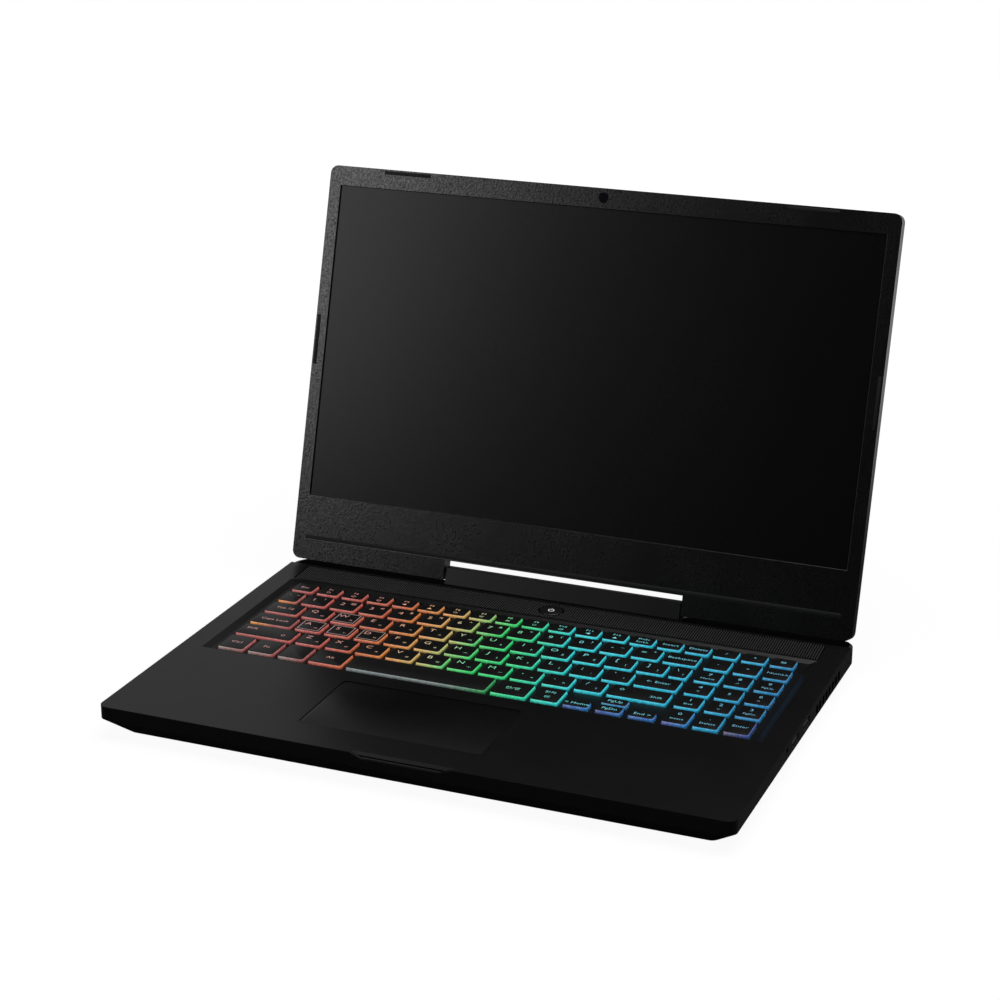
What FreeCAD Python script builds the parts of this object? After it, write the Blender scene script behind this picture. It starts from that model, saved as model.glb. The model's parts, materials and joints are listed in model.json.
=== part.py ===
import FreeCAD
import Part
import Sketcher

import math
import operator
import os

# A 15.6 inch laptop computer, open, as separate pieces.
# Base pieces are drawn from the middle of the front edge on the desk: x right, y back, z up.
# Lid pieces are drawn from the hinge axis: x right, y up the lid, z out of the screen.
# Each piece's Placement then brings it into the shared frame, whose origin is under the middle
# of the whole open laptop.

# Driving dimensions in millimetres and degrees: alias, value, what it is.
SIZES = [
    ("case_width", 360, "width of base and lid"),
    ("base_depth", 246.4, "front edge to rear wall of the base"),
    ("deck_height", 20, "desk to the palm rest"),
    ("foot_height", 2, "desk to the underside of the base"),
    ("band_front", 7.7, "height of the upright side band at the front"),
    ("band_rear", 12, "height of the upright side band at the rear"),
    ("draw_in_front", 10.8, "how far the underside is drawn in at the front"),
    ("draw_in_side", 11.5, "how far the underside is drawn in at the sides"),
    ("draw_in_rear", 5, "how far the underside is drawn in at the rear"),
    ("front_corner", 5, "plan radius of the front corners"),
    ("rear_corner", 9, "plan radius of the rear corners"),
    ("case_wall", 1.8, "side wall of base and tray"),
    ("deck_wall", 1.8, "skin of the palm rest"),
    ("tray_floor", 1.6, "floor of the bottom case"),
    ("trough_length", 13, "rear wall to the palm rest, over the hinge trough"),
    ("trough_depth", 2, "depth of the hinge trough"),
    ("seam", 0.15, "clearance between fixed pieces"),
    ("running_gap", 0.35, "clearance round a moving piece"),
    ("notch_top", 58, "finger notch, width at the palm rest"),
    ("notch_bottom", 43, "finger notch, width at its floor"),
    ("notch_depth", 3, "finger notch, how far it cuts down and back"),

    ("hinge_inset", 5.1, "rear wall to the hinge axis"),
    ("hinge_rise", 6.4, "palm rest to the hinge axis"),
    ("open_angle", 106.2, "lid angle at rest, from closed"),
    ("pin_radius", 1.3, "hinge pin"),
    ("pin_play", 0.15, "clearance of the pin in the arm"),
    ("barrel_radius", 2, "hinge barrels"),
    ("barrel_length", 12, "length of each hinge barrel"),
    ("leaf_thickness", 1.2, "sheet of the hinge arms and brackets"),
    ("leg_clearance", 1, "hinge cover to the lid's legs, each side"),
    ("cover_wall", 0.9, "wall of the hinge cover"),
    ("cover_front_inset", 11.8, "rear wall to the hinge cover's front face"),
    ("crest_front_inset", 8.2, "rear wall to the front of the cover's flat top"),
    ("crest_rear_inset", 4.8, "rear wall to the rear of the cover's flat top"),
    ("cover_height", 10, "palm rest to the cover's flat top"),
    ("cover_rear_height", 7.5, "palm rest to the cover's rear edge"),
    ("cover_rear_inset", 1.4, "rear wall to the cover's rear face"),

    ("lid_overhang", 0.26, "closed lid beyond the front edge of the base"),
    ("leg_drop", 5.14, "hinge axis to the bottom of the lid's legs"),
    ("lid_front", 5.7, "hinge axis to the bezel's face"),
    ("lid_back", 3.8, "hinge axis to the back of the lid"),
    ("lid_corner", 5, "plan radius of the lid's corners"),
    ("lid_edge", 1.6, "slant of the lid's back edges"),
    ("lid_wall", 1.8, "side wall of the back cover"),
    ("lid_skin", 1.4, "skin of the back cover"),
    ("bezel_thickness", 1.1, "bezel sheet"),
    ("notch_width", 153, "gap between the lid's legs"),
    ("notch_rise", 7.06, "hinge axis to the top of that gap"),
    ("screen_side_margin", 7.4, "lid side to the screen opening"),
    ("screen_top_margin", 11.8, "top of the lid to the screen opening"),
    ("screen_rise", 35.36, "hinge axis to the screen opening"),
    ("panel_lap", 2.6, "display panel behind the bezel, each side"),
    ("panel_thickness", 3, "display panel"),
    ("rib_width", 3, "ribs behind the display panel"),
    ("rib_offset", 130, "side ribs from the middle"),
    ("bumper_depth", 0.5, "pocket of the rubber bumpers"),
    ("bumper_proud", 0.4, "bumpers above the bezel"),
    ("top_bumper_centre", 128, "top bumpers from the middle"),
    ("top_bumper_length", 31, "top bumpers"),
    ("bumper_width", 2.2, "rubber bumpers"),
    ("side_bumper_rise", 133, "hinge axis to the middle of the side bumpers"),
    ("side_bumper_length", 31, "side bumpers"),
    ("bumper_inset", 0.9, "bumpers from the lid's edge"),
    ("strip_rise", 7.9, "hinge axis to the long rubber strip"),
    ("strip_width", 2.4, "long rubber strip"),
    ("strip_side_margin", 8, "lid side to the long rubber strip"),
    ("camera_drop", 5.6, "top of the lid to the camera"),
    ("camera_radius", 3.1, "camera window"),
    ("camera_board_width", 80, "camera board"),
    ("camera_board_height", 5.6, "camera board"),
    ("camera_board_thickness", 1.2, "camera board"),
    ("arm_length", 58, "hinge arm up the lid"),

    ("well_margin", 13, "case side to the keyboard well"),
    ("well_front_gap", 4.4, "front of the well to the space bar row"),
    ("well_rear_gap", 1.6, "rear of the well to the hatched strip"),
    ("well_slope", 4, "run of the well's sloped sides"),
    ("frame_lap", 2.5, "keyboard frame under the palm rest, each side"),
    ("frame_thickness", 2.2, "keyboard frame"),
    ("guide_thickness", 0.8, "light guide under the keyboard"),
    ("key_margin", 20.6, "case side to the keys"),
    ("key_rear_gap", 3.9, "function row to the rear of the well"),
    ("block_ratio", 13.842, "main block, in key pitches"),
    ("pitches_across_count", 16.69, "letter key pitches across the keyboard"),
    ("key_gap", 2.7, "between caps, side to side"),
    ("row_gap", 2.6, "between caps, row to row"),
    ("row_pitch", 18.2, "letter rows"),
    ("bottom_row_pitch", 21.3, "space bar row"),
    ("function_depth", 12, "caps of the function row"),
    ("function_ratio", 0.879, "function row pitch, in key pitches"),
    ("function_gap", 2.6, "between caps of the function row"),
    ("pad_start_ratio", 14.062, "left edge of the keys to the number pad, in key pitches"),
    ("pad_ratio", 0.906, "number pad pitch, in key pitches"),
    ("pad_gap", 3, "between caps of the number pad"),
    ("number_row_ratio", 0.796, "left edge of the keys to the 1 key, in key pitches"),
    ("upper_row_ratio", 1.283, "left edge of the keys to the Q key, in key pitches"),
    ("home_row_ratio", 1.534, "left edge of the keys to the A key, in key pitches"),
    ("lower_row_ratio", 2.031, "left edge of the keys to the Z key, in key pitches"),
    ("modifier_ratio", 1.005, "control, function and system keys, in key pitches"),
    ("alt_ratio", 1.246, "the two keys beside the space bar, in key pitches"),
    ("menu_ratio", 0.989, "menu key, in key pitches"),
    ("arrow_ratio", 0.984, "arrow keys, in key pitches"),
    ("arrow_gap", 4, "between arrow caps, side to side"),
    ("half_key_gap", 1.4, "between the two half-height arrow caps"),
    ("cap_height", 2.2, "key caps"),
    ("cap_taper", 0.5, "each side of a cap draws in by this"),
    ("cap_corner", 0.8, "corners of a cap are cut off by this"),
    ("cap_proud", 0.1, "caps above the palm rest"),

    ("touchpad_centre", -17, "touchpad, from the middle"),
    ("touchpad_width", 106, "touchpad"),
    ("touchpad_front", 23.4, "front edge to the touchpad"),
    ("palm_gap", 12, "touchpad to the keyboard well"),
    ("touchpad_thickness", 1.6, "touchpad"),
    ("touchpad_sink", 0.25, "touchpad below the palm rest"),
    ("touchpad_corner", 3, "touchpad corners"),
    ("bracket_thickness", 0.8, "sheet bracket under the touchpad"),
    ("bracket_rim", 6, "bracket beyond the touchpad opening"),
    ("press_room", 1.1, "touchpad to the bracket's floor"),

    ("strip_margin", 13, "case side to the hatched strip"),
    ("grille_depth", 22.4, "hatched strip, front to rear"),
    ("grille_rear_gap", 2, "hatched strip to the hinge trough"),
    ("grille_thickness", 1.2, "hatched strip"),
    ("grille_ledge", 3, "ledge that carries the strip"),
    ("button_inset", 11.7, "front of the hatched strip to the power button"),
    ("button_radius", 6.8, "power button"),
    ("button_height", 2.6, "power button"),

    ("vent_place", 88.6, "rear wall to the first side vent"),
    ("vent_pitch", 6.95, "side vents"),
    ("vent_count", 8, "side vents"),
    ("vent_width", 4.4, "side vents"),
    ("vent_top", 4, "palm rest to the top of the side vents"),
    ("vent_height", 5.6, "side vents"),
    ("port_depth", 14, "sockets, into the case"),
    ("port_shell", 0.45, "metal of the sockets"),
    ("port_sink", 0.2, "sockets behind the side wall"),
    ("usb_width", 12.4, "USB opening"),
    ("usb_height", 4.8, "USB opening"),
    ("usb_tongue", 1.8, "USB tongue"),
    ("tongue_ratio", 0.8, "width of a socket's tongue, as a share of its opening"),
    ("usb_middle", 4.9, "palm rest to the middle of the USB openings"),
    ("usb_place", 134.4, "rear wall to the front USB socket"),
    ("usb_step", 23.4, "between the USB sockets"),
    ("audio_place", 150.7, "rear wall to the audio socket"),
    ("audio_drop", 4.2, "palm rest to the audio bore"),
    ("audio_radius", 1.8, "audio bore"),
    ("audio_width", 6.6, "audio socket body"),
    ("audio_bore_depth", 12, "audio bore"),
    ("network_place", 138.4, "rear wall to the network socket"),
    ("network_width", 15.6, "network socket"),
    ("network_opening", 11.8, "network opening"),
    ("network_floor", 11.3, "desk to the network socket"),
    ("network_wall", 0.7, "network socket above and below its opening"),
    ("video_place", 119.4, "rear wall to the video socket"),
    ("video_width", 14, "video opening"),
    ("video_height", 4.5, "video opening"),
    ("video_tongue", 1, "video tongue"),
    ("usb_c_place", 104.4, "rear wall to the USB-C socket"),
    ("usb_c_width", 8.4, "USB-C opening"),
    ("usb_c_height", 2.6, "USB-C opening"),
    ("usb_c_tongue", 0.7, "USB-C tongue"),
    ("power_place", 25.4, "rear wall to the power inlet"),
    ("power_body", 8, "power inlet body"),
    ("power_middle", 13.4, "desk to the middle of the power inlet"),
    ("power_radius", 2.75, "power inlet bore"),
    ("power_pin_radius", 0.8, "power inlet pin"),
    ("lock_place", 12.4, "rear wall to the lock slot"),
    ("lock_width", 7, "lock slot"),
    ("lock_height", 3, "lock slot"),

    ("board_thickness", 1.2, "motherboard"),
    ("board_front_gap", 5, "motherboard in front of the keyboard well"),
    ("board_waist_place", 98.4, "rear wall to the narrow part of the motherboard"),
    ("board_rear_gap", 16.4, "rear wall to the motherboard"),
    ("board_margin", 12, "case side to the motherboard, wide part"),
    ("board_fan_gap", 8, "fans to the narrow part of the motherboard"),
    ("boss_radius", 3, "board bosses on the tray"),
    ("chip_height", 1.65, "processor and graphics chip"),
    ("processor_size", 30, "processor"),
    ("graphics_size", 34, "graphics chip"),
    ("chip_offset", 32, "chips from the middle"),
    ("chip_place", 114.9, "rear wall to the middle of the chips"),
    ("pipe_height", 2.4, "flattened heat pipe"),
    ("pipe_width", 7, "flattened heat pipe"),
    ("pipe_bend", 6, "outer bend of the heat pipe"),
    ("fin_count", 18, "fins in each stack"),
    ("fin_thickness", 0.5, "fins"),
    ("fin_stack_length", 54, "fin stacks"),
    ("fin_stack_width", 19, "fin stacks"),
    ("fin_height", 5.4, "fin stacks"),
    ("fin_plate", 0.6, "base plate of the fin stacks"),
    ("fin_inset", 6, "case side to the fin stacks"),
    ("fan_size", 58, "fan housing"),
    ("fan_height", 8, "fan housing"),
    ("fan_sheet", 1, "sheet of the fan housing"),
    ("fan_gap", 1, "fan housing to the fins"),
    ("fan_place", 62.4, "rear wall to the fan shafts"),
    ("intake_radius", 21, "fan intake"),
    ("rotor_radius", 24.5, "fan rotor"),
    ("hub_radius", 10, "fan hub"),
    ("rotor_height", 4.6, "fan rotor"),
    ("rotor_clearance", 0.8, "rotor above the housing floor"),
    ("blade_count", 17, "fan blades"),
    ("blade_thickness", 0.9, "fan blades"),
    ("blade_lean", 6, "how far a blade's tip trails"),
    ("shaft_radius", 1.5, "fan shaft"),
    ("shaft_play", 0.2, "clearance of the shaft in the hub"),
    ("shaft_length", 3.6, "fan shaft"),
    ("battery_margin", 67, "case side to the battery"),
    ("battery_front", 18, "front edge to the battery"),
    ("battery_gap", 4, "battery to the motherboard"),
    ("battery_height", 7, "battery"),
    ("inner_corner", 2.5, "corners of battery, speakers and fans are cut off by this"),
    ("speaker_width", 34, "speakers"),
    ("speaker_gap", 16, "speakers to the motherboard"),
    ("speaker_height", 6, "speakers"),
    ("speaker_front", 26, "front edge to the speakers"),
    ("speaker_inset", 41, "case side to the middle of a speaker"),
    ("module_width", 67.6, "memory modules"),
    ("module_depth", 30, "memory modules"),
    ("module_thickness", 1.2, "memory modules"),
    ("module_place", 86.4, "rear wall to the memory modules"),
    ("module_step", 2.2, "between the two memory modules"),
    ("socket_depth", 5, "memory socket bar"),
    ("drive_length", 80, "solid-state drive"),
    ("drive_width", 22, "solid-state drive"),
    ("drive_thickness", 2.2, "solid-state drive"),
    ("drive_place", 49.4, "rear wall to the solid-state drive"),
    ("drive_inset", 8, "drive from the edge of the motherboard"),
    ("card_length", 30, "wireless card"),
    ("card_width", 22, "wireless card"),
    ("card_thickness", 1.8, "wireless card"),
    ("connector_depth", 4, "drive and card connectors"),

    ("intake_slot_length", 34, "intake slots under the fans"),
    ("intake_slot_width", 2.4, "intake slots"),
    ("intake_slot_pitch", 5, "intake slots"),
    ("intake_slot_count", 8, "intake slots under each fan"),
    ("sound_slot_length", 22, "slots under the speakers"),
    ("sound_slot_width", 1.6, "slots under the speakers"),
    ("sound_slot_pitch", 4, "slots under the speakers"),
    ("sound_slot_count", 5, "slots under each speaker"),
    ("rear_foot_margin", 60, "case side to the rear foot"),
    ("foot_width", 8, "feet"),
    ("rear_foot_place", 22.4, "rear wall to the rear foot"),
    ("front_foot_length", 46, "front feet"),
    ("front_foot_inset", 62, "case side to the middle of a front foot"),
    ("front_foot_back", 24, "front edge to the front feet"),
    ("foot_corner", 2.5, "corners of the feet are cut off by this"),
    ("screw_radius", 2.6, "bottom screw heads"),
    ("screw_height", 1, "bottom screw heads"),
    ("screw_inset", 28, "case side to the outer screws"),
    ("screw_front", 18, "front edge to the front screws"),
    ("screw_middle_place", 128.4, "rear wall to the middle screws"),
    ("screw_rear_place", 34.4, "rear wall to the rear screws"),
]

doc = FreeCAD.newDocument("laptop")
sheet = doc.addObject("Spreadsheet::Sheet", "Sizes")
for row, (alias, value, note) in enumerate(SIZES, start=1):
    sheet.set(f"A{row}", note)
    sheet.set(f"B{row}", str(value))
    sheet.setAlias(f"B{row}", alias)
doc.recompute()

OPERATIONS = {"+": operator.add, "-": operator.sub, "*": operator.mul, "/": operator.truediv}


class Length:
    """A number that keeps the sheet formula it comes from."""

    def __init__(self, text, number):
        self.text = text
        self.number = number

    def __add__(self, other):
        return combine(self, "+", other)

    def __radd__(self, other):
        return combine(other, "+", self)

    def __sub__(self, other):
        return combine(self, "-", other)

    def __rsub__(self, other):
        return combine(other, "-", self)

    def __mul__(self, other):
        return combine(self, "*", other)

    def __rmul__(self, other):
        return combine(other, "*", self)

    def __truediv__(self, other):
        return combine(self, "/", other)

    def __neg__(self):
        return combine(0, "-", self)


def as_length(value):
    return value if isinstance(value, Length) else Length(str(value), float(value))


def combine(left, sign, right):
    left = as_length(left)
    right = as_length(right)
    return Length(f"({left.text} {sign} {right.text})", OPERATIONS[sign](left.number, right.number))


def sine(angle):
    return Length(f"sin({angle.text} * 1 deg)", math.sin(math.radians(angle.number)))


def cosine(angle):
    return Length(f"cos({angle.text} * 1 deg)", math.cos(math.radians(angle.number)))


class Sizes:
    """Reads a driving dimension by its alias."""

    def __getattr__(self, alias):
        return Length("Sizes." + alias, float(sheet.get(alias)))


s = Sizes()

# Levels and places that several pieces share.
half_width = s.case_width / 2
deck = s.deck_height
middle = as_length(0)
desk = as_length(0)
front_edge = as_length(0)
underside = s.foot_height
floor = underside + s.tray_floor
ceiling = deck - s.deck_wall
parting_front = deck - s.band_front
parting_rear = deck - s.band_rear
trough = deck - s.trough_depth
hinge_height = deck + s.hinge_rise
frame_top = ceiling
frame_bottom = frame_top - s.frame_thickness
guide_bottom = frame_bottom - s.guide_thickness
board_top = deck - s.usb_middle - s.usb_height / 2 - s.port_shell
board_bottom = board_top - s.board_thickness
chip_bottom = board_bottom - s.chip_height
pipe_bottom = chip_bottom - s.pipe_height
bezel_back = s.lid_front - s.bezel_thickness
lid_floor = s.lid_skin - s.lid_back
panel_back = bezel_back - s.panel_thickness


def from_rear(distance):
    """A place along the base that keeps its distance to the rear wall."""
    return s.base_depth - distance


# Places along the base, which keep to the rear wall and to each other.
hinge_back = from_rear(s.hinge_inset)
trough_front = from_rear(s.trough_length)
cover_front = from_rear(s.cover_front_inset)
crest_front = from_rear(s.crest_front_inset)
crest_rear = from_rear(s.crest_rear_inset)
cover_rear = from_rear(s.cover_rear_inset)
grille_rear = trough_front - s.grille_rear_gap
grille_front = grille_rear - s.grille_depth
button_back = grille_front + s.button_inset
well_rear = grille_front - s.well_rear_gap
function_row_front = well_rear - s.key_rear_gap - s.function_depth
bottom_row_front = function_row_front - 4 * s.row_pitch - s.bottom_row_pitch
well_front = bottom_row_front - s.well_front_gap
touchpad_depth = well_front - s.palm_gap - s.touchpad_front
usb_front = from_rear(s.usb_place)
usb_rear = usb_front + s.usb_step
audio_back = from_rear(s.audio_place)
network_back = from_rear(s.network_place)
video_back = from_rear(s.video_place)
usb_c_back = from_rear(s.usb_c_place)
power_back = from_rear(s.power_place)
lock_back = from_rear(s.lock_place)
board_front = well_front - s.board_front_gap
board_waist = from_rear(s.board_waist_place)
board_rear = from_rear(s.board_rear_gap)
chip_back = from_rear(s.chip_place)
fan_back = from_rear(s.fan_place)
speaker_depth = board_front - s.speaker_gap - s.speaker_front
module_back = from_rear(s.module_place)
drive_back = from_rear(s.drive_place)

# Places across the case, which keep to its sides.
cover_width = s.notch_width - 2 * s.leg_clearance
screen_width = s.case_width - 2 * s.screen_side_margin
well_half_width = half_width - s.well_margin
grille_half_width = half_width - s.strip_margin
board_half_width = half_width - s.board_margin
speaker_offset = half_width - s.speaker_inset
fin_outer = half_width - s.fin_inset
fan_middle = fin_outer - s.fin_stack_width - s.fan_gap - s.fan_size / 2
board_waist_half_width = fan_middle - s.fan_size / 2 - s.board_fan_gap
key_left = half_width - s.key_margin
key_pitch = (s.case_width - 2 * s.key_margin) / s.pitches_across_count
key_block_right = key_pitch * s.block_ratio - key_left
function_pitch = key_pitch * s.function_ratio
pad_left = key_pitch * s.pad_start_ratio - key_left
pad_pitch = key_pitch * s.pad_ratio

# Places up the lid, from the hinge axis.
lid_rise = hinge_back + s.lid_overhang
screen_height = lid_rise - s.screen_rise - s.screen_top_margin
camera_rise = lid_rise - s.camera_drop

# The slanted back edge at the top of the open lid reaches furthest to the rear.
# The origin is half way to it.
lean = s.open_angle - 90
depth_at_rest = hinge_back + (lid_rise - s.lid_edge) * sine(lean) + s.lid_back * cosine(lean)
origin_back = depth_at_rest / 2

X_AXIS = FreeCAD.Vector(1, 0, 0)
Z_AXIS = FreeCAD.Vector(0, 0, 1)
ALONG_X = FreeCAD.Rotation(FreeCAD.Vector(0, 1, 0), 90)
SIDE_VIEW = FreeCAD.Rotation(FreeCAD.Vector(1, 1, 1), 120)
STEEP = 0.8  # an edge whose rise is more than this share of its length counts as upright
SCREW_SIDES = 8
POST_SIDES = 8
INTAKE_SIDES = 24

# Key rows are counted from the space bar row, and the keys of one pitch in each are counted here.
BOTTOM_ROW, LOWER_ROW, HOME_ROW, UPPER_ROW, NUMBER_ROW = range(5)
LOWER_KEYS, HOME_KEYS, UPPER_KEYS, NUMBER_KEYS, FUNCTION_KEYS = 10, 11, 12, 12, 19
PAD_COLUMNS = 3

nodes = {}


def bind(thing, path, length):
    thing.setExpression(path, as_length(length).text)


def mirrored(span):
    low, high = span
    return (-high, -low)


def around(centre, width):
    return (centre - width / 2, centre + width / 2)


def block(name, x, y, z):
    """A box between the low and high values of x, y and z."""
    box = doc.addObject("Part::Box", name)
    for path, axis, (low, high) in zip(("Length", "Width", "Height"), "xyz", (x, y, z)):
        bind(box, path, high - low)
        bind(box, "Placement.Base." + axis, low)
    return box


def rod(name, radius, start, length, rotation=FreeCAD.Rotation()):
    """A cylinder that starts at a point and runs up, or along the turned axis."""
    cylinder = doc.addObject("Part::Cylinder", name)
    cylinder.Placement = FreeCAD.Placement(FreeCAD.Vector(), rotation)
    bind(cylinder, "Radius", radius)
    bind(cylinder, "Height", length)
    for axis, value in zip("xyz", start):
        bind(cylinder, "Placement.Base." + axis, value)
    return cylinder


def post(name, sides, radius, start, height):
    """An upright prism, for small round pieces that repeat."""
    prism = doc.addObject("Part::Prism", name)
    prism.Polygon = sides
    bind(prism, "Circumradius", radius)
    bind(prism, "Height", height)
    for axis, value in zip("xyz", start):
        bind(prism, "Placement.Base." + axis, value)
    return prism


def rounded_rectangle(name, x, y, front_radius, rear_radius):
    """A sketch of a rectangle with round corners, its sizes bound to the sheet."""
    left, right = x
    front, rear = y
    sketch = doc.addObject("Sketcher::SketchObject", name)
    x0, x1, y0, y1 = left.number, right.number, front.number, rear.number
    r0, r1 = front_radius.number, rear_radius.number
    ends = [((x0 + r0, y0), (x1 - r0, y0)), ((x1, y0 + r0), (x1, y1 - r1)),
            ((x1 - r1, y1), (x0 + r1, y1)), ((x0, y1 - r1), (x0, y0 + r0))]
    centres = [(x1 - r0, y0 + r0, r0), (x1 - r1, y1 - r1, r1),
               (x0 + r1, y1 - r1, r1), (x0 + r0, y0 + r0, r0)]
    for start, end in ends:
        sketch.addGeometry(Part.LineSegment(FreeCAD.Vector(*start, 0), FreeCAD.Vector(*end, 0)))
    for corner, (x_centre, y_centre, radius) in enumerate(centres):
        circle = Part.Circle(FreeCAD.Vector(x_centre, y_centre, 0), Z_AXIS, radius)
        first = math.radians(90 * corner - 90)
        sketch.addGeometry(Part.ArcOfCircle(circle, first, first + math.pi / 2))
    for corner in range(4):
        sketch.addConstraint(Sketcher.Constraint("Tangent", corner, 2, 4 + corner, 1))
        sketch.addConstraint(Sketcher.Constraint("Tangent", 4 + corner, 2, (corner + 1) % 4, 1))
    for kind, line in (("Horizontal", 0), ("Vertical", 1), ("Horizontal", 2), ("Vertical", 3)):
        sketch.addConstraint(Sketcher.Constraint(kind, line))
    sketch.addConstraint(Sketcher.Constraint("Equal", 4, 7))
    sketch.addConstraint(Sketcher.Constraint("Equal", 5, 6))
    driven = [
        ("Radius", (4,), front_radius, "front_radius"),
        ("Radius", (5,), rear_radius, "rear_radius"),
        ("DistanceX", (-1, 1, 3, 1), left, "left"),
        ("DistanceX", (-1, 1, 1, 1), right, "right"),
        ("DistanceY", (-1, 1, 0, 1), front, "front"),
        ("DistanceY", (-1, 1, 2, 1), rear, "rear"),
    ]
    name_constraints(sketch, driven)
    return sketch


def outline(name, points, rotation=FreeCAD.Rotation()):
    """A closed sketch of straight lines through points whose places are bound to the sheet."""
    sketch = doc.addObject("Sketcher::SketchObject", name)
    draw_outline(sketch, points)
    sketch.Placement = FreeCAD.Placement(FreeCAD.Vector(), rotation)
    return sketch


def draw_outline(sketch, points):
    corners = [FreeCAD.Vector(as_length(u).number, as_length(v).number, 0) for u, v in points]
    count = len(corners)
    for index in range(count):
        sketch.addGeometry(Part.LineSegment(corners[index], corners[(index + 1) % count]))
    for index in range(count):
        sketch.addConstraint(Sketcher.Constraint("Coincident", index, 2, (index + 1) % count, 1))
    driven = []
    for index, (u, v) in enumerate(points):
        driven.append(("DistanceX", (-1, 1, index, 1), as_length(u), f"u{index}"))
        driven.append(("DistanceY", (-1, 1, index, 1), as_length(v), f"v{index}"))
    name_constraints(sketch, driven)


def name_constraints(sketch, driven):
    for kind, places, length, name in driven:
        index = sketch.addConstraint(Sketcher.Constraint(kind, *places, length.number))
        sketch.renameConstraint(index, name)
        bind(sketch, "Constraints." + name, length)


def extruded(name, sketch, height, both_ways=False):
    extrusion = doc.addObject("Part::Extrusion", name)
    extrusion.Base = sketch
    extrusion.DirMode = "Normal"
    extrusion.Solid = True
    extrusion.Symmetric = both_ways
    bind(extrusion, "LengthFwd", height)
    return extrusion


def side_profile(name, points, width):
    """A profile of (y, z) points, extruded evenly to both sides of the middle."""
    return extruded(name, outline(name + "_outline", points, SIDE_VIEW), width, True)


def plate(name, x, y, z, radius):
    """A flat plate with round corners."""
    low, high = z
    sheet_plate = extruded(name, rounded_rectangle(name + "_outline", x, y, radius, radius), high - low)
    bind(sheet_plate.Base, "Placement.Base.z", low)
    return sheet_plate


def trimmed_plate(name, x, y, z, corner):
    """A flat plate whose corners are cut off."""
    (left, right), (front, rear), (low, high) = x, y, z
    points = [(left + corner, front), (right - corner, front),
              (right, front + corner), (right, rear - corner),
              (right - corner, rear), (left + corner, rear),
              (left, rear - corner), (left, front + corner)]
    sketch = outline(name + "_outline", points)
    bind(sketch, "Placement.Base.z", low)
    return extruded(name, sketch, high - low)


def rounded(name, base, radius, wanted):
    """Rounds the edges of a solid that a test picks."""
    base.recompute(True)
    fillet = doc.addObject("Part::Fillet", name)
    fillet.Base = base
    fillet.Edges = picked_edges(base, radius, wanted)
    return fillet


def slanted(name, base, width, wanted):
    """Cuts off the edges of a solid that a test picks."""
    base.recompute(True)
    chamfer = doc.addObject("Part::Chamfer", name)
    chamfer.Base = base
    chamfer.Edges = picked_edges(base, width, wanted)
    return chamfer


def picked_edges(base, size, wanted):
    return [(number, size.number, size.number)
            for number, edge in enumerate(base.Shape.Edges, start=1) if wanted(edge)]


def is_upright(edge):
    start, end = edge.Vertexes[0].Point, edge.Vertexes[-1].Point
    run = end - start
    return run.Length > 0 and abs(run.z) > STEEP * run.Length


def cut(name, base, *tools):
    result = doc.addObject("Part::Cut", name)
    result.Base = base
    result.Tool = tools[0] if len(tools) == 1 else group(name + "_tools", tools)
    return result


def fuse(name, *pieces):
    result = doc.addObject("Part::MultiFuse", name)
    result.Shapes = list(pieces)
    result.Refine = True
    return result


def group(name, pieces):
    compound = doc.addObject("Part::Compound", name)
    compound.Links = list(pieces)
    return compound


def loft(name, *sections):
    result = doc.addObject("Part::Loft", name)
    result.Sections = list(sections)
    result.Solid = True
    result.Ruled = True
    return result


def base_node(label, *pieces):
    """Places a piece of the base, or a set of alike pieces, in the shared frame."""
    node = group(label, pieces)
    node.Label = label
    bind(node, "Placement.Base.y", -origin_back)
    nodes[label] = node


def lid_node(label, *pieces):
    """Places a piece of the lid in the shared frame, at the rest angle about the hinge axis."""
    node = group(label, pieces)
    node.Label = label
    node.Placement = FreeCAD.Placement(FreeCAD.Vector(), FreeCAD.Rotation(X_AXIS, 1))
    bind(node, "Placement.Rotation.Angle", 180 - s.open_angle)
    bind(node, "Placement.Base.y", hinge_back - origin_back)
    bind(node, "Placement.Base.z", hinge_height)
    nodes[label] = node


def parted_outline(name, half, y, front_radius, rear_radius):
    """A rounded outline on the sloped plane where top case and bottom case meet."""
    fall = parting_rear - parting_front
    slope = Length(f"atan2({fall.text}; {s.base_depth.text}) / 1 deg",
                   math.degrees(math.atan2(fall.number, s.base_depth.number)))
    front, rear = y
    stretch = cosine(slope)
    along = (front / stretch, rear / stretch)
    sketch = rounded_rectangle(name, (-half, half), along, front_radius, rear_radius)
    sketch.Placement = FreeCAD.Placement(FreeCAD.Vector(), FreeCAD.Rotation(X_AXIS, 1))
    bind(sketch, "Placement.Rotation.Angle", slope)
    bind(sketch, "Placement.Base.z", parting_front)
    return sketch


def side_slots(name, x):
    """The vent slots in one side wall."""
    top = deck - s.vent_top
    z = (top - s.vent_height, top)
    first = from_rear(s.vent_place)
    return [block(f"{name}_{index}", x, around(first + s.vent_pitch * index, s.vent_width), z)
            for index in range(round(s.vent_count.number))]


def port_hole(name, left_side, back, width, z):
    """A hole in a side wall for a socket."""
    x = (half_width - 2 * s.case_wall, half_width + s.case_wall)
    low, high = z
    return block(name, mirrored(x) if left_side else x, around(back, width + 2 * s.seam),
                 (low - s.seam, high + s.seam))


def usb_span():
    middle = deck - s.usb_middle
    return around(middle, s.usb_height + 2 * s.port_shell)


def audio_span():
    return (board_top, ceiling - s.seam)


def network_span():
    return (s.network_floor, ceiling - s.seam)


def on_board(height):
    return (board_top, board_top + height + 2 * s.port_shell)


def power_span():
    return around(s.power_middle, s.power_body)


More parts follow.
